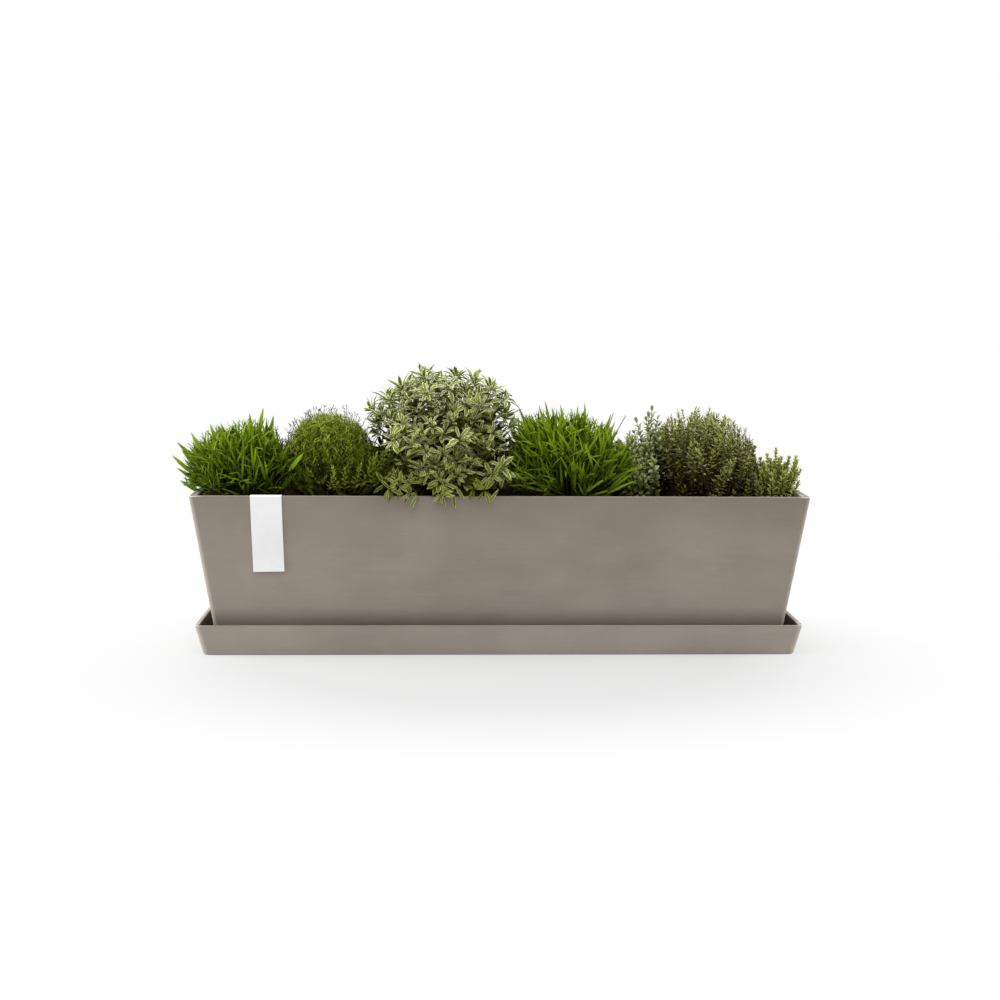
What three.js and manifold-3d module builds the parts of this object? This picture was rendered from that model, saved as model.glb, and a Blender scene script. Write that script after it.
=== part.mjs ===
// A planted window trough: a tapered rectangular planter standing in a flared saucer, filled with clay
// pebbles and potting soil, with a card label over its front rim and a row of plants.
// Millimetres, +Z up. The origin is the middle of the saucer's underside, +X runs along the trough and
// -Y is the front.

import * as THREE from 'three';
import { mergeVertices } from 'three/addons/utils/BufferGeometryUtils.js';
import Module from 'manifold-3d';

const wasm = await Module();
wasm.setup();

// Fits
const restGap = 0.3; // between pieces that stand on, or lie against, each other
const pocketGap = 0.6; // between a root ball and the soil around it
const cutMargin = 1; // how far a cutter runs past the face that it opens

// Trough
const troughLength = 800; // outside, at the rim
const troughWidth = 200; // outside, at the rim
const troughHeight = 200;
const troughFootInset = 27.5; // how far each side leans in between the rim and the foot
const troughWall = 8.5;
const troughFloor = 9;
const troughCorner = 7; // outside corner radius
const troughInnerCorner = 3;
const drainHoleDiameter = 12;
const drainHoleCount = 6;
const drainHoleFromEnd = 72.5; // from the end of the trough's foot to the first hole

// Saucer
const saucerGutter = 12; // between the trough's foot and the saucer's wall, at the saucer's floor
const saucerHeight = 41;
const saucerFlare = 9; // how far each side leans out between the floor and the rim
const saucerWall = 4.5;
const saucerFloor = 4.5;
const saucerCorner = 9;
const saucerInnerCorner = 5;
const ribHeight = 6; // the bars that hold the trough clear of drained water
const ribWidth = 12;
const ribInset = 7.5; // from the trough's foot edge to the bar's end

// Filling
const drainageDepth = 25;
const soilDrop = 22; // from the rim down to the soil
const rowEndGap = 4; // from the soil's end to the first plant's own ground

// Card label
const labelWidth = 40;
const labelFrontFlap = 100;
const labelBackFlap = 17;
const labelThickness = 0.8;
const labelFromEnd = 98.5; // from the trough's left end to the label's middle

// Plants
const canopyGap = 1; // from the rim up to the lowest leaves
const cellGap = 2; // between the leaves of neighbouring plants
const collarHeight = 6; // where a plant's stems join above its root ball
const collarSpread = 0.5; // the collar's radius, as a share of how far the stems spread
const collarFoot = 0.7; // how far out on the collar the stems start
const stemTaper = 0.8; // a stem's or a collar's top, as a share of its foot
const rootBallTaper = 0.1; // how much each side of a root ball leans in per millimetre of depth
const leafThickness = 2.4;
const leafRoot = 0.12; // how deep a leaf starts inside the core, as a share of the plant's spread
const lowestBlade = 0.1; // the rise of the lowest blades, as a share of straight up
const lowestRosette = 0.2; // rosettes start higher, which keeps their leaves above the rim
const lowestSprig = 0.25;
const rosetteLeafCount = 4;
const rosetteLeafSlimness = 3; // a leaf's length over its width
const rosetteLeafLean = 0.7; // how far the leaves of a rosette lean along their branch
const branchRoot = 0.4; // where a branch starts, as a share of the plant's spread
const sprigRoot = 0.3;
const shortestSprig = 0.94;
const sprigPairs = 2;
const sprigLeafSlimness = 1.6;
const sprigLeafWidth = 0.7; // as a share of the plant's own leaf width
const sprigStemWidth = 0.8;
const sprigLeafLean = 0.8;
const firstPair = 0.9; // from a sprig's tip down to its first pair of leaves, in leaf lengths
const pairSpacing = 0.8;
const bladeSides = 3;
const bladeSteps = 3;
const stemSides = 5;
const roundSides = 16;
const canopyFullness = 2.5; // 2 is an ellipsoid, and more fills its shoulders out
const cornerSteps = 4;
const goldenAngle = Math.PI * (3 - Math.sqrt(5));

// The row from left to right. ball is the root ball's diameter and room the ground kept beside it.
// back moves a plant behind the row's middle line, and depth is how far its leaves spread to front and back.
// height is measured from the rim, and lift from the lowest leaves' usual level up to this plant's.
// peak is where the leaves stand highest, as a share of their length of the row from its left.
// core is the share of the spread where the leaves stand too dense to see through.
const plants = [
  {
    name: 'left_grass', stemName: 'crown', leafName: 'blades', form: 'tuft', peak: 0.75, core: 0.78,
    ball: 84, ballHeight: 85, room: 21, back: 0, depth: 84, height: 103, lift: 0, overhang: 62,
    stems: 5, stemWidth: 16, leaves: 72, leafWidth: 12,
    leafColour: '#4f7d17', stemColour: '#6d7a33',
  },
  {
    name: 'heath', stemName: 'stems', leafName: 'foliage', form: 'tuft', peak: 0.55, core: 0.86,
    ball: 80, ballHeight: 85, room: 21, back: 0, depth: 88, height: 113, lift: 0, overhang: 0,
    stems: 5, stemWidth: 5, leaves: 72, leafWidth: 8,
    leafColour: '#5c7a22', stemColour: '#5a4a30',
  },
  {
    name: 'variegated_shrub', stemName: 'stems', leafName: 'foliage', form: 'rosettes', peak: 0.5, core: 0.8,
    ball: 100, ballHeight: 95, room: 100, back: 0, depth: 119, height: 166, lift: 0, overhang: 0,
    stems: 5, stemWidth: 6, leaves: 18, leafWidth: 12,
    leafColour: '#8d9a62', stemColour: '#6a4632',
  },
  {
    name: 'right_grass', stemName: 'crown', leafName: 'blades', form: 'tuft', peak: 0.4, core: 0.78,
    ball: 90, ballHeight: 85, room: 66, back: 0, depth: 98, height: 117, lift: 0, overhang: 0,
    stems: 5, stemWidth: 18, leaves: 72, leafWidth: 12,
    leafColour: '#5f8f18', stemColour: '#76843a',
  },
  {
    name: 'hebe', stemName: 'stems', leafName: 'foliage', form: 'sprigs', peak: 0.5, core: 0.78,
    ball: 42, ballHeight: 70, room: 10, back: 22, depth: 60, height: 105, lift: 0, overhang: 0,
    stems: 3, stemWidth: 4, leaves: 7, leafWidth: 7,
    leafColour: '#6f7f55', stemColour: '#5d5138',
  },
  {
    name: 'thyme', stemName: 'stems', leafName: 'foliage', form: 'sprigs', peak: 0.4, core: 0.8,
    ball: 80, ballHeight: 85, room: 28, back: 0, depth: 86, height: 112, lift: 14, overhang: 0,
    stems: 6, stemWidth: 4, leaves: 13, leafWidth: 8,
    leafColour: '#65733c', stemColour: '#5b4530',
  },
  {
    name: 'dwarf_box', stemName: 'stems', leafName: 'foliage', form: 'sprigs', peak: 0.5, core: 0.78,
    ball: 36, ballHeight: 60, room: 11, back: -24, depth: 54, height: 55, lift: 0, overhang: 20,
    stems: 3, stemWidth: 4, leaves: 7, leafWidth: 7,
    leafColour: '#66732e', stemColour: '#5d5138',
  },
];

// Sizes that follow from the ones above
const troughLean = troughFootInset / troughHeight;
const troughFootLength = troughLength - 2 * troughFootInset;
const troughFootWidth = troughWidth - 2 * troughFootInset;
const drainHolePitch = (troughFootLength - 2 * drainHoleFromEnd) / (drainHoleCount - 1);
const troughRest = saucerFloor + ribHeight + restGap; // the trough's underside above the ground
const saucerLean = saucerFlare / saucerHeight;
const drainageTop = troughFloor + restGap + drainageDepth;
const soilTop = troughHeight - soilDrop;
const canopyFloor = troughHeight + canopyGap;
const up = new THREE.Vector3(0, 0, 1);

// Turns a closed geometry into a solid that can be joined and cut
function solidOf(geometry) {
  const bare = geometry.clone();
  bare.deleteAttribute('normal');
  bare.deleteAttribute('uv');
  const merged = mergeVertices(bare, 1e-5);
  const vertProperties = new Float32Array(merged.attributes.position.array);
  const triVerts = new Uint32Array(merged.index.array);
  return new wasm.Manifold(new wasm.Mesh({ numProp: 3, vertProperties, triVerts }));
}

function geometryOf(solid) {
  const mesh = solid.getMesh();
  const geometry = new THREE.BufferGeometry();
  geometry.setAttribute('position', new THREE.BufferAttribute(new Float32Array(mesh.vertProperties), 3));
  geometry.setIndex(new THREE.BufferAttribute(new Uint32Array(mesh.triVerts), 1));
  geometry.computeVertexNormals();
  return geometry;
}

// Joins closed geometries that run into each other, and drops slivers finer than the tolerance
function joined(geometries) {
  const sliver = 0.02;
  return geometryOf(wasm.Manifold.union(geometries.map(solidOf)).simplify(sliver));
}

function pieceOf(name, geometry, colour, roughness) {
  const material = new THREE.MeshStandardMaterial({ color: colour, roughness, metalness: 0 });
  const mesh = new THREE.Mesh(geometry, material);
  mesh.name = name;
  return mesh;
}

function roundedRectangle(length, width, radius) {
  const x = length / 2;
  const y = width / 2;
  const shape = new THREE.Shape();
  shape.moveTo(x, -y + radius);
  shape.lineTo(x, y - radius);
  shape.absarc(x - radius, y - radius, radius, 0, Math.PI / 2);
  shape.lineTo(-x + radius, y);
  shape.absarc(-x + radius, y - radius, radius, Math.PI / 2, Math.PI);
  shape.lineTo(-x, -y + radius);
  shape.absarc(-x + radius, -y + radius, radius, Math.PI, Math.PI * 1.5);
  shape.lineTo(x - radius, -y);
  shape.absarc(x - radius, -y + radius, radius, Math.PI * 1.5, Math.PI * 2);
  return shape;
}

// A rounded block between two levels. length and width are those of its top, and its sides lean in below.
function taperedBlock({ length, width, low, high, lean, radius }) {
  const block = new THREE.ExtrudeGeometry(roundedRectangle(length, width, radius), {
    depth: high - low,
    bevelEnabled: false,
    curveSegments: cornerSteps,
  });
  const place = block.attributes.position;
  for (let i = 0; i < place.count; i++) {
    const inset = lean * (high - low - place.getZ(i));
    const x = place.getX(i) - Math.sign(place.getX(i)) * inset;
    const y = place.getY(i) - Math.sign(place.getY(i)) * inset;
    place.setXYZ(i, x, y, place.getZ(i) + low);
  }
  return block;
}

// A block that keeps a level distance from the trough's outer faces
function troughBlock(inset, low, high, radius) {
  const shrink = 2 * (inset + troughLean * (troughHeight - high));
  return taperedBlock({
    length: troughLength - shrink,
    width: troughWidth - shrink,
    low,
    high,
    lean: troughLean,
    radius,
  });
}

// An upright round piece between two levels
function uprightCone(x, y, low, high, lowRadius, highRadius, sides) {
  const cone = new THREE.CylinderGeometry(highRadius, lowRadius, high - low, sides);
  cone.rotateX(Math.PI / 2);
  cone.translate(x, y, (low + high) / 2);
  return cone;
}

function makeTrough() {
  const shell = solidOf(troughBlock(0, 0, troughHeight, troughCorner));
  const hollow = solidOf(troughBlock(troughWall, troughFloor, troughHeight + cutMargin, troughInnerCorner));
  let trough = shell.subtract(hollow);
  for (let i = 0; i < drainHoleCount; i++) {
    const x = (i - (drainHoleCount - 1) / 2) * drainHolePitch;
    const radius = drainHoleDiameter / 2;
    const hole = uprightCone(x, 0, -cutMargin, troughFloor + cutMargin, radius, radius, roundSides);
    trough = trough.subtract(solidOf(hole));
  }
  return pieceOf('trough', geometryOf(trough), '#8c8378', 0.8);
}

function makeSaucer() {
  const floorLength = troughFootLength + 2 * saucerGutter;
  const floorWidth = troughFootWidth + 2 * saucerGutter;
  const rimGrowth = 2 * (saucerWall + saucerLean * (saucerHeight - saucerFloor));
  const shell = taperedBlock({
    length: floorLength + rimGrowth,
    width: floorWidth + rimGrowth,
    low: 0,
    high: saucerHeight,
    lean: saucerLean,
    radius: saucerCorner,
  });
  const hollowTop = saucerHeight + cutMargin;
  const hollowGrowth = 2 * saucerLean * (hollowTop - saucerFloor);
  const hollow = taperedBlock({
    length: floorLength + hollowGrowth,
    width: floorWidth + hollowGrowth,
    low: saucerFloor,
    high: hollowTop,
    lean: saucerLean,
    radius: saucerInnerCorner,
  });
  let saucer = solidOf(shell).subtract(solidOf(hollow));
  const ribRoot = saucerFloor / 2; // each bar grows out of the floor's own thickness
  const ribTop = saucerFloor + ribHeight;
  for (let i = 0; i <= drainHoleCount; i++) {
    const rib = new THREE.BoxGeometry(ribWidth, troughFootWidth - 2 * ribInset, ribTop - ribRoot);
    rib.translate((i - drainHoleCount / 2) * drainHolePitch, 0, (ribTop + ribRoot) / 2);
    saucer = saucer.add(solidOf(rib));
  }
  return pieceOf('saucer', geometryOf(saucer), '#91887d', 0.8);
}

function makeDrainageLayer() {
  const low = troughFloor + restGap;
  const layer = troughBlock(troughWall + restGap, low, drainageTop, troughInnerCorner);
  return pieceOf('drainage_layer', layer, '#8a5a3c', 0.95);
}

// The card is bent over the rim, with both flaps parallel to the wall so that it lifts off along the slope
function makeLabel() {
  const wallFace = -troughWidth / 2;
  const front = wallFace - restGap;
  const back = wallFace + troughWall + restGap;
  const top = troughHeight + restGap;
  const leanAt = (z) => troughLean * (troughHeight - z);
  const frontEnd = troughHeight - labelFrontFlap;
  const backEnd = troughHeight - labelBackFlap;
  const outline = [
    [front - labelThickness, frontEnd],
    [front, frontEnd],
    [front, top],
    [back, top],
    [back, backEnd],
    [back + labelThickness, backEnd],
    [back + labelThickness, top + labelThickness],
    [front - labelThickness, top + labelThickness],
  ];
  const shape = new THREE.Shape(outline.map(([y, z]) => new THREE.Vector2(y + leanAt(z), z)));
  const card = new THREE.ExtrudeGeometry(shape, { depth: labelWidth, bevelEnabled: false });
  const alongTrough = new THREE.Matrix4().makeBasis(new THREE.Vector3(0, 1, 0), up, new THREE.Vector3(1, 0, 0));
  card.applyMatrix4(alongTrough);
  card.translate(-troughLength / 2 + labelFromEnd - labelWidth / 2, 0, 0);
  return pieceOf('label', card, '#eeeeef', 0.6);
}

// Shares the soil's length among the plants: each has its root ball and its part of the room that is left
function layOutRow() {
  const soilInset = troughWall + restGap + troughLean * soilDrop;
  const rowLength = troughLength - 2 * (soilInset + rowEndGap);
  const total = (key) => plants.reduce((sum, plant) => sum + plant[key], 0);
  const roomScale = (rowLength - total('ball')) / total('room');
  let left = -rowLength / 2;
  return plants.map((plant, i) => {
    const right = left + plant.ball + plant.room * roomScale;
    const leafLeft = left + cellGap / 2 - (i === 0 ? plant.overhang : 0);
    const leafRight = right - cellGap / 2 + (i === plants.length - 1 ? plant.overhang : 0);
    const ground = { plant, x: (left + right) / 2, leafLeft, leafRight };
    left = right;
    return ground;
  });
}

function rootBallCone({ plant, x }, gap, extraTop) {
  const low = soilTop - plant.ballHeight - gap;
  const high = soilTop + extraTop;
  const radiusAt = (z) => plant.ball / 2 + gap - rootBallTaper * (soilTop - z);
  return uprightCone(x, plant.back, low, high, radiusAt(low), radiusAt(high), roundSides);
}

function makeSoil(row) {
  const low = drainageTop + restGap;
  let soil = solidOf(troughBlock(troughWall + restGap, low, soilTop, troughInnerCorner));
  for (const ground of row) {
    soil = soil.subtract(solidOf(rootBallCone(ground, pocketGap, cutMargin)));
  }
  return pieceOf('potting_soil', geometryOf(soil), '#2b2018', 0.98);
}

function makeRootBall(ground) {
  return pieceOf(`${ground.plant.name}_root_ball`, rootBallCone(ground, 0, 0), '#3a2a1e', 0.97);
}

// Short stems fan out from a collar on the root ball to the underside of the leaves
function makeStems({ plant, x }) {
  const low = soilTop + restGap;
  const high = canopyFloor + plant.lift - restGap;
  const spread = (plant.ball - plant.stemWidth) / 2;
  const collarRadius = spread * collarSpread;
  const collarTop = low + collarHeight;
  const collar = uprightCone(x, plant.back, low, collarTop, collarRadius, collarRadius * stemTaper, roundSides);
  const parts = [collar];
  for (let i = 0; i < plant.stems; i++) {
    const turn = i * goldenAngle;
    const reach = Math.sqrt((i + 0.5) / plant.stems);
    const foot = collarRadius * collarFoot * reach;
    const lean = spread * reach - foot;
    const radius = plant.stemWidth / 2;
    const stem = uprightCone(0, 0, low, high, radius, radius * stemTaper, stemSides);
    const place = stem.attributes.position;
    for (let k = 0; k < place.count; k++) {
      const out = foot + (lean * (place.getZ(k) - low)) / (high - low);
      const across = place.getX(k) + x + out * Math.cos(turn);
      const back = place.getY(k) + plant.back + out * Math.sin(turn);
      place.setXY(k, across, back);
    }
    parts.push(stem);
  }
  return pieceOf(`${plant.name}_${plant.stemName}`, joined(parts), plant.stemColour, 0.85);
}

// A leaf blade swept along a curve that stays in one upright plane, from its full width to a point
function sweptBlade(curve, width, thickness) {
  const blade = new THREE.ConeGeometry(0.5, 1, bladeSides, bladeSteps);
  const place = blade.attributes.position;
  const run = curve.getPoint(1).sub(curve.getPoint(0));
  const side = new THREE.Vector3(-run.y, run.x, 0).normalize();
  for (let i = 0; i < place.count; i++) {
    const along = place.getY(i) + 0.5;
    const face = new THREE.Vector3().crossVectors(side, curve.getTangent(along)).normalize();
    const point = curve.getPoint(along);
    point.addScaledVector(side, place.getX(i) * width);
    point.addScaledVector(face, place.getZ(i) * thickness);
    place.setXYZ(i, point.x, point.y, point.z);
  }
  return blade;
}

// A pointed leaf, widest in the middle, between two points
function pointedLeaf(base, tip, width) {
  const leaf = new THREE.OctahedronGeometry(1);
  const run = tip.clone().sub(base);
  leaf.scale(width / 2, run.length() / 2, leafThickness / 2);
  leaf.applyQuaternion(new THREE.Quaternion().setFromUnitVectors(new THREE.Vector3(0, 1, 0), run.normalize()));
  leaf.translate((base.x + tip.x) / 2, (base.y + tip.y) / 2, (base.z + tip.z) / 2);
  return leaf;
}

// The space that a plant's leaves fill: a half dome on a level floor, which leans towards its peak
function canopyOf({ plant, leafLeft, leafRight }) {
  const floor = canopyFloor + plant.lift;
  const peak = leafLeft + plant.peak * (leafRight - leafLeft);
  const middle = new THREE.Vector3(peak, plant.back, floor);
  const margin = plant.leafWidth / 2;
  const leftReach = peak - leafLeft - margin;
  const rightReach = leafRight - peak - margin;
  const depthReach = plant.depth - margin;
  const heightReach = troughHeight + plant.height - floor;
  const at = (direction, share) => {
    const powers = direction.toArray().map((value) => Math.abs(value) ** canopyFullness);
    const size = (powers[0] + powers[1] + powers[2]) ** (1 / canopyFullness) || 1;
    const stretch = (share * direction.length()) / size;
    const reach = new THREE.Vector3(direction.x < 0 ? leftReach : rightReach, depthReach, heightReach);
    return direction.clone().multiply(reach).multiplyScalar(stretch).add(middle);
  };
  return { middle, at };
}

// Even directions over a half sphere, from the level up to straight overhead
function domeDirection(i, count, lowest) {
  const rise = lowest + (1 - lowest) * ((i + 0.5) / count);
  const level = Math.sqrt(1 - rise * rise);
  const turn = i * goldenAngle;
  return new THREE.Vector3(level * Math.cos(turn), level * Math.sin(turn), rise);
}

// A share between low and 1 that varies from leaf to leaf without a visible order
function unevenShare(i, low) {
  return low + (1 - low) * ((i * 0.754877) % 1);
}

function domeCore(canopy, share) {
  const dome = new THREE.SphereGeometry(1, 12, 4, 0, Math.PI * 2, 0, Math.PI / 2);
  dome.rotateX(Math.PI / 2);
  const disc = new THREE.CircleGeometry(1, 12);
  disc.rotateX(Math.PI);
  const parts = [dome, disc].map((part) => part.toNonIndexed());
  const corners = parts.flatMap((part) => Array.from(part.attributes.position.array));
  const core = new THREE.BufferGeometry();
  core.setAttribute('position', new THREE.Float32BufferAttribute(corners, 3));
  const place = core.attributes.position;
  const corner = new THREE.Vector3();
  for (let i = 0; i < place.count; i++) {
    const point = canopy.at(corner.fromBufferAttribute(place, i), share);
    place.setXYZ(i, point.x, point.y, point.z);
  }
  return core;
}

// Pointed leaves that stand out of a dense core in every direction
function tuftLeaves(plant, canopy) {
  const parts = [domeCore(canopy, plant.core)];
  for (let i = 0; i < plant.leaves; i++) {
    const direction = domeDirection(i, plant.leaves, lowestBlade);
    const base = canopy.at(direction, plant.core - leafRoot);
    const tip = canopy.at(direction, unevenShare(i, (1 + plant.core) / 2));
    parts.push(pointedLeaf(base, tip, plant.leafWidth));
  }
  return parts;
}

// A whorl of pointed leaves round a growing tip
function whorl(centre, outward, count, length, width) {
  const level = new THREE.Vector3().crossVectors(outward, up).normalize();
  const cross = new THREE.Vector3().crossVectors(outward, level);
  const parts = [];
  for (let k = 0; k < count; k++) {
    const turn = (k / count) * Math.PI * 2;
    const lie = level.clone().multiplyScalar(Math.cos(turn)).addScaledVector(cross, Math.sin(turn));
    const tip = lie.addScaledVector(outward, rosetteLeafLean).normalize().multiplyScalar(length).add(centre);
    parts.push(pointedLeaf(centre, tip, width));
  }
  return parts;
}

// Leaf rosettes at the ends of the branches, held by a loose core
function rosetteLeaves(plant, canopy) {
  const leafLength = plant.leafWidth * rosetteLeafSlimness;
  const parts = [domeCore(canopy, plant.core)];
  for (let i = 0; i < plant.leaves; i++) {
    const direction = domeDirection(i, plant.leaves, lowestRosette);
    const tip = canopy.at(direction, 1);
    const outward = tip.clone().sub(canopy.middle).normalize();
    const centre = tip.clone().addScaledVector(outward, -leafLength);
    const branch = new THREE.LineCurve3(canopy.at(direction, branchRoot), tip);
    parts.push(sweptBlade(branch, plant.leafWidth, plant.leafWidth));
    parts.push(...whorl(centre, outward, rosetteLeafCount, leafLength, plant.leafWidth));
  }
  return parts;
}

// Upright sprigs with pairs of small leaves that cross each other up the stem
function sprigLeaves(plant, canopy) {
  const leafLength = plant.leafWidth * sprigLeafSlimness;
  const leafWidth = plant.leafWidth * sprigLeafWidth;
  const stemWidth = plant.leafWidth * sprigStemWidth;
  const parts = [domeCore(canopy, plant.core)];
  for (let i = 0; i < plant.leaves; i++) {
    const direction = domeDirection(i, plant.leaves, lowestSprig);
    const tip = canopy.at(direction, unevenShare(i, shortestSprig));
    const foot = canopy.at(direction, sprigRoot);
    const axis = tip.clone().sub(foot).normalize();
    parts.push(sweptBlade(new THREE.LineCurve3(foot, tip), stemWidth, stemWidth));
    for (let pair = 0; pair < sprigPairs; pair++) {
      const centre = tip.clone().addScaledVector(axis, -leafLength * (firstPair + pair * pairSpacing));
      const level = new THREE.Vector3().crossVectors(axis, up).normalize();
      const spun = level.applyAxisAngle(axis, (pair * Math.PI) / 2);
      for (const way of [-1, 1]) {
        const lie = spun.clone().multiplyScalar(way).addScaledVector(axis, sprigLeafLean).normalize();
        parts.push(pointedLeaf(centre, centre.clone().addScaledVector(lie, leafLength), leafWidth));
      }
    }
  }
  return parts;
}

function makeLeaves(ground) {
  const { plant } = ground;
  const canopy = canopyOf(ground);
  const makers = { tuft: tuftLeaves, rosettes: rosetteLeaves, sprigs: sprigLeaves };
  const parts = makers[plant.form](plant, canopy);
  return pieceOf(`${plant.name}_${plant.leafName}`, joined(parts), plant.leafColour, 0.7);
}

const plantedTrough = new THREE.Group();
const lifted = new THREE.Group();
const row = layOutRow();
lifted.position.z = troughRest;
lifted.add(makeTrough(), makeDrainageLayer(), makeSoil(row), makeLabel());
for (const ground of row) {
  lifted.add(makeRootBall(ground), makeStems(ground), makeLeaves(ground));
}
plantedTrough.add(makeSaucer(), lifted);

export default plantedTrough;
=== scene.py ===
# %% [markdown]
# # A planted window trough
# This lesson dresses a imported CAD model: a tapered taupe trough in its saucer, a blank card label, and
# a row of seven small plants in soil. The CAD model is the fixed frame. It says where each piece is and
# what it moves with, so every new piece is made in its place, in metres, and rides on a body of the frame.

# %% Load the frame
import math
import random

import bmesh
import bpy
import numpy as np
from mathutils import Matrix, Vector, noise


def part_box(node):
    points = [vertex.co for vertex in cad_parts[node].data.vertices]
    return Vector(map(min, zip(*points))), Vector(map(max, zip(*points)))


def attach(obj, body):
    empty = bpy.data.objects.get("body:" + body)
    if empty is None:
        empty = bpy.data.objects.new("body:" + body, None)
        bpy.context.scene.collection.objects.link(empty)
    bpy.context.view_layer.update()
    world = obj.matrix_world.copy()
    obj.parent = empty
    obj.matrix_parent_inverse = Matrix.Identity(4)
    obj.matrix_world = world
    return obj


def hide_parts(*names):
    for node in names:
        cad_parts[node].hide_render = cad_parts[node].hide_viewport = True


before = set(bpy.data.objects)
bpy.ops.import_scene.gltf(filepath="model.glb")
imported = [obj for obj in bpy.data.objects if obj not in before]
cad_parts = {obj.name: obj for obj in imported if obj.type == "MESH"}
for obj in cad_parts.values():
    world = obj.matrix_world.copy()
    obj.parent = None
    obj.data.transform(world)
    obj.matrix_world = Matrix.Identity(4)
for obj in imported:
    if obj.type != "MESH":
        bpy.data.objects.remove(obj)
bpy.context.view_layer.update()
UP = Vector((0, 0, 1))

# %% [markdown]
# ## The camera
# A product photograph of a long, low object is taken from about two metres away with a normal lens. The
# eye stands a little left of the middle and looks slightly down, so the rim shows as a thin line and the
# saucer's inside as two dark wedges. A camera is placed by turning it about its own axes, roll first.

# %% Place the camera
EYE = Vector((-0.0645, -1.9005, 0.4560))
LOOKS_RIGHT = math.radians(1.97)
LOOKS_DOWN = math.radians(7.883)
ROLL = math.radians(0.399)
camera_data = bpy.data.cameras.new("camera")
camera_data.lens = 51.08
camera_data.sensor_width = 36
camera = bpy.data.objects.new("camera", camera_data)
bpy.context.scene.collection.objects.link(camera)
facing = Matrix.Rotation(-LOOKS_RIGHT, 4, "Z") @ Matrix.Rotation(math.pi / 2 - LOOKS_DOWN, 4, "X")
camera.matrix_world = Matrix.Translation(EYE) @ facing @ Matrix.Rotation(ROLL, 4, "Z")
bpy.context.scene.camera = camera
print("camera at", [round(value, 3) for value in EYE])

# %% [markdown]
# ## Helpers for finishes
# A finish is a small tree of shader nodes. These helpers add one node each, so that a material below
# reads as a short recipe: where the pattern lies, what noise it has, and which colours it runs between.

# %% Helpers for finishes
def srgb(red, green, blue):
    """The linear colour of 8-bit screen values."""

    def linear(level):
        share = level / 255
        return share / 12.92 if share <= 0.04045 else ((share + 0.055) / 1.055) ** 2.4

    return (linear(red), linear(green), linear(blue), 1.0)


def add_node(tree, kind, inputs=None, **settings):
    made = tree.nodes.new("ShaderNode" + kind)
    for name, value in settings.items():
        setattr(made, name, value)
    for socket, value in (inputs or {}).items():
        if isinstance(value, bpy.types.NodeSocket):
            tree.links.new(value, made.inputs[socket])
        else:
            made.inputs[socket].default_value = value
    return made


def new_finish(name, roughness, specular):
    material = bpy.data.materials.new(name)
    material.use_nodes = True
    shader = material.node_tree.nodes["Principled BSDF"]
    shader.inputs["Roughness"].default_value = roughness
    shader.inputs["Specular IOR Level"].default_value = specular
    return material, material.node_tree, shader


def object_place(tree):
    return add_node(tree, "TexCoord").outputs["Object"]


def noise_at(tree, place, stretch, detail, roughness=0.55):
    """Noise with so many features to the metre along each axis."""
    mapped = add_node(tree, "Mapping", {"Vector": place, "Scale": stretch})
    settings = {"Vector": mapped.outputs[0], "Scale": 1.0, "Detail": detail, "Roughness": roughness}
    return add_node(tree, "TexNoise", settings).outputs[0]


def ranged(tree, value, low, high, to_low=0.0, to_high=1.0):
    return add_node(tree, "MapRange", {0: value, 1: low, 2: high, 3: to_low, 4: to_high}).outputs[0]


def maths(tree, how, first, second=0.0):
    return add_node(tree, "Math", {0: first, 1: second}, operation=how).outputs[0]


def mixed(tree, share, first, second, how="MIX"):
    mix = add_node(tree, "Mix", {0: share, 6: first, 7: second}, data_type="RGBA", blend_type=how)
    return mix.outputs[2]


def colour_with(tree, shader, colour):
    tree.links.new(colour, shader.inputs["Base Color"])


def bump_with(tree, shader, height, depth):
    bump = add_node(tree, "Bump", {"Height": height, "Distance": depth})
    tree.links.new(bump.outputs[0], shader.inputs["Normal"])


# %% [markdown]
# ## Helpers for pieces
# A bmesh becomes a piece when its mesh gets an object, a finish and a body to ride on, and the CAD node
# that it stands for is hidden. Edges sharper than a limit stay crisp, the rest are smooth.

# %% Helpers for pieces
SHARP = math.radians(38)


def smooth_all(bm):
    for face in bm.faces:
        face.smooth = True


def keep_crisp(bm):
    smooth_all(bm)
    for edge in bm.edges:
        edge.smooth = edge.calc_face_angle(0) < SHARP


def make_piece(bm, name, finish, body, node):
    mesh = bpy.data.meshes.new(name)
    bm.to_mesh(mesh)
    bm.free()
    piece = bpy.data.objects.new(name, mesh)
    bpy.context.scene.collection.objects.link(piece)
    mesh.materials.append(finish)
    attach(piece, body)
    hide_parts(node)
    print(name, "has", sum(len(face.vertices) - 2 for face in mesh.polygons), "triangles")
    return piece


def round_off(bm, edges, radius, segments):
    return bmesh.ops.bevel(
        bm, geom=list(edges), offset=radius, offset_type="OFFSET", segments=segments, profile=0.5,
        affect="EDGES", material=-1, clamp_overlap=True,
    )["faces"]


# %% [markdown]
# ## The moulded shells
# Trough and saucer are both moulded trays: a tapered box with rounded corners, a hollow that follows its
# outside, and edges that the mould rounds off. A Boolean could cut the hollow, but it leaves a rim of
# stray edges. Here the outside and the hollow are two open boxes with equal corner steps, and
# bridge_loops closes the rim between them with clean quads, which then bevel well. The rim falls inwards by
# a hair, as moulded rims do, and that tells the bridge which way round the two loops run. The drain holes
# in the floor are pairs of circles, bridged, with the floor filled around them.

# %% Shape a moulded tray
CORNER_STEPS = 6
EDGE_STEPS = 3
RIM_FALL = 0.0002
WEAR = "edge_wear"
# Marks the faces inside a tray, which get painted shade
SHADED_INSIDE = "shaded_inside"


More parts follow.
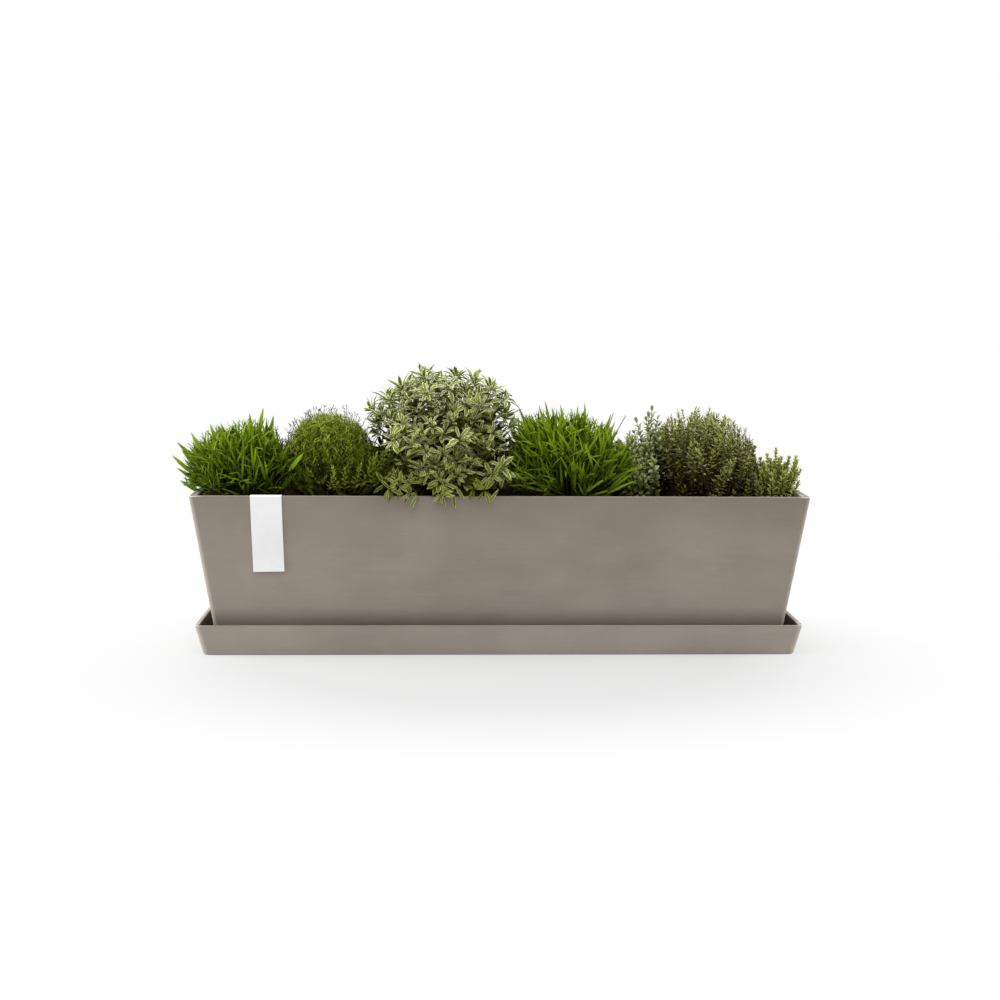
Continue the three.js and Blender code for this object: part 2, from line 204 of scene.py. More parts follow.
def open_box(bm, top, foot, low, high, corner):
    """A tapered box with round uprights and no lid. Returns its open rim's edges and its bottom face."""
    verts = bmesh.ops.create_cube(bm, size=2)["verts"]
    for vert in verts:
        size = top if vert.co.z > 0 else foot
        level = high if vert.co.z > 0 else low
        vert.co = Vector((vert.co.x * size.x / 2, vert.co.y * size.y / 2, level))
    edges = {edge for vert in verts for edge in vert.link_edges}
    uprights = [edge for edge in edges if abs(edge.verts[0].co.z - edge.verts[1].co.z) > (high - low) / 2]
    known = set(bm.faces) - {face for vert in verts for face in vert.link_faces}
    round_off(bm, uprights, corner, CORNER_STEPS)
    faces = [face for face in bm.faces if face not in known]
    lid = max(faces, key=lambda face: face.calc_center_median().z)
    bottom = min(faces, key=lambda face: face.calc_center_median().z)
    rim = list(lid.edges)
    bmesh.ops.delete(bm, geom=[lid], context="FACES_ONLY")
    return rim, bottom


def moulded_tray(top, foot, low, high, wall, floor, corners, lip, foot_round):
    """A tray with rounded edges. Its bevels are marked on their faces for the finish, and its inside for
    painted shade.
    """
    bm = bmesh.new()
    wear = bm.faces.layers.float.new(WEAR)
    inside_shade = bm.faces.layers.float.new(SHADED_INSIDE)
    inset = Vector((2 * wall, 2 * wall))
    rise = floor / (high - low)
    inner_foot = foot.lerp(top, rise) - inset
    outer_rim, outer_floor = open_box(bm, top, foot, low, high, corners[0])
    outside = set(bm.faces)
    inner_rim, inner_floor = open_box(bm, top - inset, inner_foot, low + floor, high - RIM_FALL, corners[1])
    # The inside faces are marked for painted shade
    for face in set(bm.faces) - outside:
        face[inside_shade] = 1.0
    bmesh.ops.bridge_loops(bm, edges=outer_rim + inner_rim)
    bmesh.ops.recalc_face_normals(bm, faces=bm.faces)
    worn = round_off(bm, outer_rim + inner_rim, lip, EDGE_STEPS)
    worn += round_off(bm, outer_floor.edges, foot_round, EDGE_STEPS)
    round_off(bm, inner_floor.edges, foot_round, EDGE_STEPS)
    for face in worn:
        face[wear] = 1.0
    return bm


# %% Bore drain holes
HOLE_STEPS = 24


def floor_face(bm, level):
    """The widest level face at a height."""
    level_faces = [face for face in bm.faces if all(abs(vert.co.z - level) < 1e-5 for vert in face.verts)]
    return max(level_faces, key=lambda face: face.calc_area())


def bore_holes(bm, low, high, spots, radius):
    """Opens round holes through a floor between two levels."""
    loops = {}
    for level in (low, high):
        face = floor_face(bm, level)
        loops[level] = list(face.edges)
        bmesh.ops.delete(bm, geom=[face], context="FACES_ONLY")
    for spot in spots:
        walls = []
        for level in (low, high):
            place = Matrix.Translation((spot, 0, level))
            ring = bmesh.ops.create_circle(
                bm, cap_ends=False, radius=radius, segments=HOLE_STEPS, matrix=place
            )["verts"]
            edges = list({edge for vert in ring for edge in vert.link_edges})
            loops[level] += edges
            walls += edges
        bmesh.ops.bridge_loops(bm, edges=walls)
    for level in (low, high):
        bmesh.ops.triangle_fill(bm, edges=loops[level], use_beauty=True)
    bmesh.ops.recalc_face_normals(bm, faces=bm.faces)


# %% [markdown]
# ## The taupe finish
# The shells are a matte, filled plastic: a warm grey with soft clouds of lighter and darker tone, faint
# drag marks along the trough and small nicks. Darker bands below the rim and above the saucer are painted
# shade. The foot's edges are rubbed paler. The lip is painted dark along the front and the back as shade,
# and painted pale at the ends as a highlight. The drag marks are noise that is stretched far more along
# the walls than up them. The edges and the painted shade inside come from values that the moulding step
# left on its faces.

# %% Mix the taupe finish
trough_low, trough_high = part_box("trough")
RIM = trough_high.z
TAUPE_DARK = srgb(124, 114, 102)
TAUPE = srgb(153, 144, 132)
TAUPE_LIGHT = srgb(166, 157, 145)
TAUPE_WORN = srgb(176, 171, 164)
# The pale of a painted highlight on the lip's ends
TAUPE_HIGHLIGHT = srgb(208, 203, 198)
# The brown of painted shade, inside the trays and at the trough's foot
SHADE_BROWN = srgb(52, 42, 33)


def taupe_finish(name, ground, end_wall, lip_level, inside_shade_fade, foot_band_top):
    """The finish of a tray with painted shade inside up to a height, and painted shade outside near its foot.

    The lip is painted pale where it reaches an end wall, as a highlight.
    """
    material, tree, shader = new_finish(name, 0.62, 0.35)
    place = object_place(tree)
    clouds = noise_at(tree, place, (7, 7, 11), 3.0)
    drags = noise_at(tree, place, (12, 12, 170), 4.0, 0.6)
    nicks = noise_at(tree, place, (38, 38, 330), 2.0)
    grain = noise_at(tree, place, (900, 900, 1400), 2.0)
    tone = mixed(tree, ranged(tree, clouds, 0.32, 0.68), TAUPE_DARK, TAUPE_LIGHT)
    tone = mixed(tree, 0.62, tone, ground)
    streak = mixed(tree, ranged(tree, drags, 0.3, 0.7), TAUPE_DARK, TAUPE_LIGHT)
    tone = mixed(tree, 0.08, tone, streak)
    tone = mixed(tree, ranged(tree, nicks, 0.66, 0.74, 0.0, 0.22), tone, TAUPE_WORN)
    along, _, rise = add_node(tree, "SeparateXYZ", {0: place}).outputs
    # Painted shade: the walls darken towards the rim
    tone = mixed(tree, ranged(tree, rise, RIM - 0.075, RIM, 0.0, 0.5), tone, TAUPE_DARK)
    wear = add_node(tree, "Attribute", attribute_name=WEAR).outputs["Fac"]
    rubbed = maths(tree, "MULTIPLY", wear, ranged(tree, clouds, 0.35, 0.6, 0.25, 0.75))
    below_lip = ranged(tree, rise, lip_level - 0.005, lip_level, 1.0, 0.0)
    rubbed = maths(tree, "MULTIPLY", rubbed, below_lip)
    tone = mixed(tree, rubbed, tone, TAUPE_WORN)
    # Painted light on the lip: dark along the front and the back as shade, pale at the ends as a highlight
    lip = maths(tree, "MULTIPLY", wear, ranged(tree, rise, lip_level - 0.002, lip_level, 0.0, 0.75))
    at_end = ranged(tree, maths(tree, "ABSOLUTE", along), end_wall - 0.008, end_wall)
    tone = mixed(tree, lip, tone, mixed(tree, at_end, TAUPE_DARK, TAUPE_HIGHLIGHT))
    # Painted shade on the inside faces, up to the lip
    inner = add_node(tree, "Attribute", attribute_name=SHADED_INSIDE).outputs["Fac"]
    inside_shade = ranged(tree, rise, lip_level - inside_shade_fade, lip_level, 0.95, 0.0)
    inside_shade_mask = maths(tree, "MULTIPLY", inner, inside_shade)
    # Painted shade in a band just above the saucer's rim
    foot_band_shade = ranged(tree, rise, foot_band_top - 0.024, foot_band_top, 0.34, 0.0)
    colour_with(tree, shader, mixed(tree, maths(tree, "MAXIMUM", inside_shade_mask, foot_band_shade), tone, SHADE_BROWN))
    tree.links.new(ranged(tree, drags, 0.3, 0.7, 0.56, 0.7), shader.inputs["Roughness"])
    relief = maths(tree, "ADD", maths(tree, "MULTIPLY", drags, 0.4), maths(tree, "MULTIPLY", grain, 0.3))
    bump_with(tree, shader, relief, 0.0006)
    return material


SAUCER_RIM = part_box("saucer")[1].z
TROUGH_END_WALL = 0.391
SAUCER_END_WALL = 0.394
# Both trays get painted shade inside; the trough also gets a band of painted shade near its foot
trough_taupe = taupe_finish(
    "trough_taupe", TAUPE, TROUGH_END_WALL,
    lip_level=RIM - 0.002, inside_shade_fade=0.012, foot_band_top=SAUCER_RIM + 0.020,
)
saucer_taupe = taupe_finish(
    "saucer_taupe", TAUPE_LIGHT, SAUCER_END_WALL,
    lip_level=SAUCER_RIM - 0.001, inside_shade_fade=0.002, foot_band_top=0.0,
)
print("mixed", trough_taupe.name, "and", saucer_taupe.name)

# %% [markdown]
# ## Trough and saucer
# The trough leans in 27.5 mm from rim to foot and has six drain holes. The saucer flares out and carries
# low bars across its floor, which hold the trough clear of the water that drains.

# %% Mould the trough
TROUGH_FOOT_INSET = 0.0275
TROUGH_WALL = 0.0085
TROUGH_FLOOR = 0.009
DRAIN_HOLE_RADIUS = 0.006
DRAIN_HOLE_PITCH = 0.120
DRAIN_HOLES = 6
trough_top = (trough_high - trough_low).xy
trough_foot = trough_top - Vector((2 * TROUGH_FOOT_INSET, 2 * TROUGH_FOOT_INSET))
bm = moulded_tray(
    trough_top, trough_foot, trough_low.z, RIM, TROUGH_WALL, TROUGH_FLOOR,
    corners=(0.007, 0.003), lip=0.0012, foot_round=0.002,
)
hole_spots = [(i - (DRAIN_HOLES - 1) / 2) * DRAIN_HOLE_PITCH for i in range(DRAIN_HOLES)]
bore_holes(bm, trough_low.z, trough_low.z + TROUGH_FLOOR, hole_spots, DRAIN_HOLE_RADIUS)
keep_crisp(bm)
trough = make_piece(bm, "moulded_trough", trough_taupe, "trough", "trough")
trough.modifiers.new("even_faces", "WEIGHTED_NORMAL").keep_sharp = True

# %% Mould the saucer
SAUCER_FLARE = 0.009
SAUCER_WALL = 0.0045
SAUCER_FLOOR = 0.0045
RIB_SIZE = Vector((0.012, 0.130, 0.008))
RIB_TOP = 0.0105
RIB_EDGE = 0.001
saucer_low, saucer_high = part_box("saucer")
saucer_top = (saucer_high - saucer_low).xy
saucer_foot = saucer_top - Vector((2 * SAUCER_FLARE, 2 * SAUCER_FLARE))
bm = moulded_tray(
    saucer_top, saucer_foot, 0.0, saucer_high.z, SAUCER_WALL, SAUCER_FLOOR,
    corners=(0.009, 0.005), lip=0.001, foot_round=0.002,
)
for i in range(DRAIN_HOLES + 1):
    spot = Matrix.Translation(((i - DRAIN_HOLES / 2) * DRAIN_HOLE_PITCH, 0, RIB_TOP - RIB_SIZE.z / 2))
    rib = bmesh.ops.create_cube(bm, size=1, matrix=spot @ Matrix.Diagonal((*RIB_SIZE, 1)))["verts"]
    round_off(bm, {edge for vert in rib for edge in vert.link_edges}, RIB_EDGE, 2)
keep_crisp(bm)
saucer = make_piece(bm, "moulded_saucer", saucer_taupe, "saucer", "saucer")
saucer.modifiers.new("even_faces", "WEIGHTED_NORMAL").keep_sharp = True

# %% [markdown]
# ## The card label
# A strip of white card is bent over the front rim. It starts as a flat grid, and each of its rows is
# carried along the path that the card takes: up the sloping front, round two soft folds over the rim and
# down inside. Solidify then gives the sheet its thickness. A real card is never quite flat, so the front
# flap bows a little and its lower end stands off the wall.

# %% Route the card over the rim
LABEL_FRONT_FLAP = 0.100
LABEL_BACK_FLAP = 0.017
CARD = 0.0006
CARD_GAP = 0.0004
FOLD_RADIUS = 0.0012
LABEL_SKEW = 0.012
CARD_BOW = 0.0011
CARD_STAND_OFF = 0.0016
FRONT_STEPS, FOLD_STEPS, BACK_STEPS = 24, 4, 5
WALL_LEAN = TROUGH_FOOT_INSET / (RIM - trough_low.z)


def wall_shift(z):
    """How far the leaning wall stands back at a height."""
    return WALL_LEAN * (RIM - z)


def card_route():
    """Points across the rim, from the front flap's foot to the back flap's, as (y, z)."""
    front = trough_low.y - CARD_GAP - CARD / 2
    back = trough_low.y + TROUGH_WALL + CARD_GAP + CARD / 2
    top = RIM + CARD_GAP + CARD / 2
    foot = RIM - LABEL_FRONT_FLAP
    route = []
    for step in range(FRONT_STEPS + 1):
        share = step / FRONT_STEPS
        z = foot + (top - FOLD_RADIUS - foot) * share
        bow = -CARD_BOW * math.sin(math.pi * share) - CARD_STAND_OFF * (1 - share) ** 6
        route.append((front + wall_shift(z) + bow, z))
    for middle, begin in ((front + FOLD_RADIUS, math.pi), (back - FOLD_RADIUS, math.pi / 2)):
        for step in range(1, FOLD_STEPS + 1):
            turn = begin - step / FOLD_STEPS * math.pi / 2
            y = middle + FOLD_RADIUS * math.cos(turn)
            route.append((y, top - FOLD_RADIUS + FOLD_RADIUS * math.sin(turn)))
    for step in range(1, BACK_STEPS + 1):
        z = top - FOLD_RADIUS - (LABEL_BACK_FLAP - FOLD_RADIUS) * step / BACK_STEPS
        route.append((back + wall_shift(z), z))
    return route


route = card_route()
print("the card's route has", len(route), "points")

# %% Fold the label
label_low, label_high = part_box("label")
bm = bmesh.new()
bmesh.ops.create_grid(bm, x_segments=8, y_segments=len(route) - 1, size=1)
label_middle = (label_low.x + label_high.x) / 2
label_half = (label_high.x - label_low.x) / 2
for vert in bm.verts:
    y, z = route[round((vert.co.y + 1) / 2 * (len(route) - 1))]
    x = vert.co.x * label_half
    vert.co = Vector((label_middle + x + (RIM - z) * LABEL_SKEW, y, z + x * LABEL_SKEW * (z < RIM)))
bmesh.ops.recalc_face_normals(bm, faces=bm.faces)
bmesh.ops.solidify(bm, geom=list(bm.faces), thickness=CARD)
bmesh.ops.recalc_face_normals(bm, faces=bm.faces)
keep_crisp(bm)


def card_finish():
    material, tree, shader = new_finish("white_card", 0.58, 0.3)
    place = object_place(tree)
    fibres = noise_at(tree, place, (700, 700, 260), 3.0)
    shade = noise_at(tree, place, (30, 30, 18), 2.0)
    paper = mixed(tree, ranged(tree, shade, 0.35, 0.65), srgb(241, 241, 243), srgb(248, 248, 248))
    speck = mixed(tree, ranged(tree, fibres, 0.3, 0.7), srgb(235, 235, 237), srgb(250, 250, 250))
    colour_with(tree, shader, mixed(tree, 0.3, paper, speck))
    bump_with(tree, shader, fibres, 0.00012)
    return material


make_piece(bm, "card_label", card_finish(), "label", "label")

# %% [markdown]
# ## Soil, root balls and the drainage bed
# Crumbly matter is hard to draw and easy to erode. A copy of the CAD solid is remeshed to even voxels
# and each point sinks by a little noise, never outwards, so the soil keeps its pockets and stays clear of
# its neighbours. Fine roots then run down each root ball, as thin tubes along curves. The clay pebbles of
# the drainage bed are lumpy balls, packed in layers.

# %% Crumble a CAD solid
COARSE_CRUMBS = 90
FINE_CRUMBS = 260


def evaluated(draft):
    """The mesh that a draft object gives with its modifiers or its bevel. The object is then removed."""
    bpy.context.scene.collection.objects.link(draft)
    mesh = bpy.data.meshes.new_from_object(draft.evaluated_get(bpy.context.evaluated_depsgraph_get()))
    bpy.data.objects.remove(draft)
    return mesh


def crumbled(node, voxel, depth, seed):
    """A copy of a CAD node with an even mesh, worn inwards by up to a depth."""
    bm = bmesh.new()
    bm.from_mesh(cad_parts[node].data)
    bmesh.ops.remove_doubles(bm, verts=bm.verts, dist=1e-5)
    draft_mesh = bpy.data.meshes.new("draft")
    bm.to_mesh(draft_mesh)
    draft = bpy.data.objects.new("draft", draft_mesh)
    voxels = draft.modifiers.new("voxels", "REMESH")
    voxels.mode = "VOXEL"
    voxels.voxel_size = voxel
    even = evaluated(draft)
    bm.clear()
    bm.from_mesh(even)
    bpy.data.meshes.remove(even)
    bpy.data.meshes.remove(draft_mesh)
    bm.normal_update()
    shift = Vector((seed, 2 * seed, 0))
    for vert in bm.verts:
        coarse = noise.noise(vert.co * COARSE_CRUMBS + shift)
        fine = noise.noise(vert.co * FINE_CRUMBS + shift)
        vert.co -= vert.normal * depth * min(max(0.5 + 0.55 * coarse + 0.4 * fine, 0.0), 1.0)
    smooth_all(bm)
    return bm


# %% Mix a soil finish and make the soil
def soil_finish(name, dark, pale, fleck):
    material, tree, shader = new_finish(name, 0.95, 0.2)
    place = object_place(tree)
    clumps = noise_at(tree, place, (140, 140, 140), 4.0, 0.65)
    specks = noise_at(tree, place, (420, 420, 420), 2.0)
    tone = mixed(tree, ranged(tree, clumps, 0.34, 0.66), dark, pale)
    colour_with(tree, shader, mixed(tree, ranged(tree, specks, 0.64, 0.7), tone, fleck))
    bump_with(tree, shader, clumps, 0.0025)
    return material


soil = soil_finish("damp_soil", srgb(26, 19, 14), srgb(58, 44, 33), srgb(112, 92, 70))
bm = crumbled("potting_soil", voxel=0.0042, depth=0.0024, seed=3.0)
make_piece(bm, "crumbly_soil", soil, "trough", "potting_soil")

# %% [markdown]
# ## One shape, pressed many times
# Leaves, needles and pebbles repeat by the hundred. Each kind is modelled once as a small closed mesh, and
# a stamp presses turned and scaled copies of it into one larger bmesh. Every copy also gets a tile of a
# square map: the tile's column and row pick its shade, and inside the tile the map runs across and along
# the leaf, so a leaf finish can draw ribs and margins wherever the leaf lies.

# %% Press shapes into a mesh
MAP = "OFBake"
TILES = 8
TILE_EDGE = 0.06


def lie(base, along, facing, size=1.0):
    """A place at base, with Z along a leaf and Y on the side that faces the light."""
    run = along.normalized()
    across = facing.cross(run)
    if across.length < 1e-4:
        across = run.orthogonal()
    across.normalize()
    turn = Matrix((across, run.cross(across), run)).transposed() * size
    return Matrix.Translation(base) @ turn.to_4x4()


class Stamp:
    """A small mesh that is pressed into a larger one."""

    def __init__(self, bm, name):
        self.mesh = bpy.data.meshes.new(name)
        bm.to_mesh(self.mesh)
        bm.free()
        self.rest = np.empty(len(self.mesh.vertices) * 3)
        self.mesh.vertices.foreach_get("co", self.rest)
        self.rest = self.rest.reshape(-1, 3)
        self.corners = None
        if MAP in self.mesh.uv_layers:
            self.corners = np.empty(len(self.mesh.loops) * 2)
            self.mesh.uv_layers[MAP].data.foreach_get("uv", self.corners)
            self.corners = self.corners.reshape(-1, 2)

    def press(self, bm, place, tile=None):
        turn = np.array(place.to_3x3())
        moved = self.rest @ turn.T + np.array(place.translation)
        self.mesh.vertices.foreach_set("co", moved.ravel())
        if self.corners is not None:
            spots = self.corners
            if tile is not None:
                spots = (self.corners * (1 - 2 * TILE_EDGE) + TILE_EDGE + np.array(tile)) / TILES
            self.mesh.uv_layers[MAP].data.foreach_set("uv", spots.ravel())
        bm.from_mesh(self.mesh)


# %% Lay the drainage bed
PEBBLE = 0.0135
PEBBLE_LAYERS = 2
PEBBLE_CLEARANCE = 0.004


def pebble_stamp(seed):
    bm = bmesh.new()
    bmesh.ops.create_icosphere(bm, subdivisions=2, radius=PEBBLE / 2)
    for vert in bm.verts:
        vert.co *= 1 + 0.22 * noise.noise(vert.co * 160 + Vector((seed, seed, seed)))
    smooth_all(bm)
    return Stamp(bm, "pebble")


chance = random.Random(11)
pebbles = [pebble_stamp(seed) for seed in (1.5, 4.5, 8.5)]
bed_low, bed_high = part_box("drainage_layer")
bed_half = Vector((bed_high.x, bed_high.y, 0)) - Vector((1, 1, 0)) * (PEBBLE / 2 + PEBBLE_CLEARANCE)
columns, rows = int(2 * bed_half.x / PEBBLE), int(2 * bed_half.y / PEBBLE)
bm = bmesh.new()
for layer in range(PEBBLE_LAYERS):
    for i in range(columns):
        for j in range(rows):
            spot = Vector((
                -bed_half.x + (i + 0.5) * 2 * bed_half.x / columns,
                -bed_half.y + (j + 0.5) * 2 * bed_half.y / rows,
                bed_low.z + PEBBLE * (0.52 + 0.82 * layer),
            ))
            angle = chance.uniform(0, 6.28)
            turn = Matrix.Rotation(angle, 4, Vector((chance.random(), 1, chance.random())))
            size = Matrix.Diagonal((1, chance.uniform(0.78, 0.95), chance.uniform(0.72, 0.9), 1))
            chance.choice(pebbles).press(bm, Matrix.Translation(spot) @ turn @ size)
clay = soil_finish("fired_clay", srgb(112, 66, 42), srgb(158, 98, 64), srgb(186, 140, 108))
make_piece(bm, "clay_pebble_bed", clay, "trough", "drainage_layer")

# %% [markdown]
# ## Stems and roots
# A stem is a thin tube along a bent line. Curves with a bevel make such tubes with a radius at each point,
# so a twig tapers. All the stems of a plant share one curve object, which is turned into a mesh.

# %% Draw stems along curves
def bowed(start, end, lift, count):
    """Points from start to end along an arc whose middle control point is raised."""
    middle = (start + end) / 2 + lift
    points = []
    for step in range(count):
        share = step / (count - 1)
        points.append(start * (1 - share) ** 2 + middle * 2 * share * (1 - share) + end * share ** 2)
    return points


def tubes(bm, routes):
    """Adds a closed, tapering tube for each (points, foot radius, tip radius)."""
    data = bpy.data.curves.new("draft", "CURVE")
    data.dimensions = "3D"
    data.bevel_depth = 1.0
    data.bevel_resolution = 0
    data.use_fill_caps = True
    for points, foot, tip in routes:
        spline = data.splines.new("POLY")
        spline.points.add(len(points) - 1)
        for i, (point, spot) in enumerate(zip(spline.points, points)):
            point.co = (*spot, 1)
            point.radius = foot + (tip - foot) * i / (len(points) - 1)
    mesh = evaluated(bpy.data.objects.new("draft", data))
    bm.from_mesh(mesh)
    bpy.data.curves.remove(data)
    bpy.data.meshes.remove(mesh)


# %% Mix a twig finish
def twig_finish(name, young, old):
    material, tree, shader = new_finish(name, 0.72, 0.3)
    place = object_place(tree)
    bark = noise_at(tree, place, (420, 420, 150), 3.0)
    rise = add_node(tree, "SeparateXYZ", {0: place}).outputs[2]
    share = ranged(tree, rise, RIM - 0.02, RIM + 0.09)
    tone = mixed(tree, share, old, young)
    shade = mixed(tree, ranged(tree, bark, 0.3, 0.7), srgb(150, 150, 150), srgb(255, 255, 255))
    colour_with(tree, shader, mixed(tree, 1.0, tone, shade, "MULTIPLY"))
    bump_with(tree, shader, bark, 0.0004)
    return material


# %% Grow the root balls
PLANTS = ["left_grass", "heath", "variegated_shrub", "right_grass", "hebe", "thyme", "dwarf_box"]
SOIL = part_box("potting_soil")[1].z
root_soil = soil_finish("root_soil", srgb(38, 27, 20), srgb(78, 60, 44), srgb(164, 146, 116))
ROOTS_PER_METRE = 900
ROOT_STEPS = 8
ROOT_RADII = (0.0007, 0.0003)
heart, ball_radius = {}, {}
for plant in PLANTS:
    low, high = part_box(plant + "_root_ball")
    heart[plant] = Vector(((low.x + high.x) / 2, (low.y + high.y) / 2, high.z))
    ball_radius[plant] = min(high.x - low.x, high.y - low.y) / 2
    bm = crumbled(plant + "_root_ball", voxel=0.0034, depth=0.0022, seed=len(plant))
    chance = random.Random(plant)
    roots = []
    for k in range(int(ball_radius[plant] * ROOTS_PER_METRE)):
        turn = chance.uniform(0, 2 * math.pi)
        sway = chance.uniform(-0.9, 0.9)
        length = chance.uniform(0.55, 0.97)
        points = []
        for step in range(ROOT_STEPS + 1):
            share = step / ROOT_STEPS * length
            angle = turn + sway * share + 0.25 * math.sin(9 * share + turn)
            radius = ball_radius[plant] - 0.1 * share * (high.z - low.z) - 0.0012
            points.append(Vector((
                heart[plant].x + radius * math.cos(angle),
                heart[plant].y + radius * math.sin(angle),
                high.z - 0.002 - share * (high.z - low.z - 0.004),
            )))
        roots.append((points, *ROOT_RADII))
    tubes(bm, roots)
    make_piece(bm, plant + "_rooted_soil", root_soil, plant, plant + "_root_ball")

# %% [markdown]
# ## Leaves
# A leaf is a squashed ball with four sides: two sides are its edges, one the rib on top and one the keel
# below. That closes it all round with few faces. Its outline, fold along the rib and arch are worked into
# the ball's rings. The map notes how far each corner is across and along the leaf.

# %% Model a leaf
def leaf_stamp(name, length, width, widest, fullness, fold, arch, rings, thick=0.0005):
    """A leaf along Z that is widest at a share of its length, folded along its rib and arched back."""
    bm = bmesh.new()
    bmesh.ops.create_uvsphere(bm, u_segments=4, v_segments=rings, radius=1)
    layer = bm.loops.layers.uv.new(MAP)
    power = math.log(0.5) / math.log(widest)
    spots = {}
    edge_points = set()
    for vert in bm.verts:
        share = min(max((vert.co.z + 1) / 2, 0.0), 1.0)
        side = (vert.co.x > 0.1) - (vert.co.x < -0.1)
        upper = (vert.co.y > 0.1) - (vert.co.y < -0.1)
        half = width / 2 * math.sin(math.pi * share ** power) ** fullness if side else 0.0
        rise = abs(side) * fold * half + upper * thick / 2
        turn = arch * share
        sag = (1 - math.cos(turn)) * length / arch
        reach = math.sin(turn) * length / arch
        vert.co = Vector((side * half, rise * math.cos(turn) - sag, reach + rise * math.sin(turn)))
        spots[vert] = (0.5 + side / 2, share)
        if side:
            edge_points.add(vert)
    for face in bm.faces:
        face.smooth = True
        for loop in face.loops:
            loop[layer].uv = spots[loop.vert]
    for edge in bm.edges:
        edge.smooth = not (edge.verts[0] in edge_points and edge.verts[1] in edge_points)
    return Stamp(bm, name)


# %% Set leaves on a sprig
def leaning(turn, lean):
    """The way out at a turn round a stem, with the run and the upper side of a leaf that leans out there."""
    out = Vector((math.cos(turn), math.sin(turn), 0))
    along = out * math.sin(lean) + UP * math.cos(lean)
    over = UP * math.sin(lean) - out * math.cos(lean)
    return out, along, over


def sprig_stamp(name, leaf, length, turns, whorl, tilt, sizes, step_turn, start=0.0, seed=1, wild=0.2):
    """Leaves in whorls up a straight axis along Z, which lean out by tilt = (foot, tip) radians."""
    chance = random.Random(seed)
    bm = bmesh.new()
    for i in range(turns):
        share = i / max(turns - 1, 1)
        for k in range(whorl):
            lean = tilt[0] + (tilt[1] - tilt[0]) * share + chance.uniform(-wild, wild)
            size = (sizes[0] + (sizes[1] - sizes[0]) * share) * chance.uniform(0.85, 1.12)
            turn = i * step_turn + k * 2 * math.pi / whorl + chance.uniform(-wild, wild)
            _, along, over = leaning(turn, lean)
            base = UP * length * (start + (1 - start) * share ** 0.8)
            leaf.press(bm, lie(base, along, over, size))
    return Stamp(bm, name)


# %% [markdown]
# ## Leaf finishes
# Leaves of one plant differ in painted light: those on top are painted pale as lit and those inside dark as
# shade. The row of a leaf's tile is how open its place is to the sky and the column is chance. The finish
# reads both from the map, runs from a deep, shaded to a light, lit green, paints shade on the foot, yellows
# the tip, draws the rib, and where a leaf is variegated gives it an uneven cream margin.

# %% Mix a leaf finish
def leaf_finish(name, deep, light, tip, rib, margins=None, roughness=0.55, variety=0.4, foot=0.5):
    material, tree, shader = new_finish(name, roughness, 0.06)
    spot = add_node(tree, "UVMap", uv_map=MAP).outputs[0]
    spread = {0: spot, 1: (TILES, TILES, TILES)}
    grid = add_node(tree, "VectorMath", spread, operation="MULTIPLY").outputs[0]
    tile = add_node(tree, "VectorMath", {0: grid}, operation="FLOOR").outputs[0]
    inside_tile = add_node(tree, "VectorMath", {0: grid}, operation="FRACTION").outputs[0]
    row = maths(tree, "DIVIDE", add_node(tree, "SeparateXYZ", {0: tile}).outputs[1], TILES - 1)
    luck = add_node(tree, "TexWhiteNoise", {"Vector": tile}, noise_dimensions="2D").outputs[0]
    across, along, _ = add_node(tree, "SeparateXYZ", {0: inside_tile}).outputs
    off_rib = maths(tree, "ABSOLUTE", maths(tree, "SUBTRACT", across, 0.5))
    # Painted light and shade: the tile's row runs from the shaded to the lit green
    tone = mixed(tree, row, deep, light)
    tone = mixed(tree, ranged(tree, luck, 0.0, 1.0, 0.0, variety), tone, mixed(tree, row, light, tip))
    # Tip and rib show more on lit rows, as painted light
    lit = ranged(tree, row, 0.0, 1.0, 0.3, 1.0)
    at_tip = maths(tree, "MULTIPLY", lit, ranged(tree, along, 0.55, 1.0, 0.0, 0.45))
    tone = mixed(tree, at_tip, tone, tip)
    # Painted shade on the foot of each leaf
    tone = mixed(tree, ranged(tree, along, 0.0, 0.5, foot, 0.0), tone, deep)
    on_rib = maths(tree, "MULTIPLY", lit, ranged(tree, off_rib, 0.03, 0.10, 0.45, 0.0))
    tone = mixed(tree, on_rib, tone, rib)
    if margins:
        ragged = noise_at(tree, spot, (TILES * 9, TILES * 14, 1), 2.0)
        edge = maths(tree, "ADD", off_rib, ranged(tree, ragged, 0.3, 0.7, -0.07, 0.07))
        cream = mixed(tree, row, margins[0], margins[1])
        tone = mixed(tree, ranged(tree, edge, 0.31, 0.36), tone, cream)
    colour_with(tree, shader, tone)
    return material


def shade_tile(chance, openness, spread=0.9):
    """A tile for a leaf whose place in its plant is open to the sky from 0 to 1, give or take some rows."""
    row = int(min(max(openness * TILES + chance.uniform(-spread, spread), 0), TILES - 1))
    return chance.randrange(TILES), row


# %% [markdown]
# ## The shape of a plant
# Seen from the front, each plant has a skyline: how high its leaves reach at each place along the trough.
# From that line the leaves fall to the rim in front and behind. A canopy keeps those sizes, gives points on
# its surface with the direction in which leaves there look out, and tells whether a leaf would stick out
# of the outline that the camera sees.

# %% Describe a canopy
def as_seen(point):
    """Where the camera sees a point, on the upright plane through the trough's middle."""
    return EYE + (point - EYE) * (EYE.y / (EYE.y - point.y))


def within(outline, x, z):
    """Whether a point of that plane lies in a closed outline."""
    odd = False
    for (x0, z0), (x1, z1) in zip(outline, outline[1:] + outline[:1]):
        if (z0 > z) != (z1 > z) and x < x0 + (z - z0) * (x1 - x0) / (z1 - z0):
            odd = not odd
    return odd


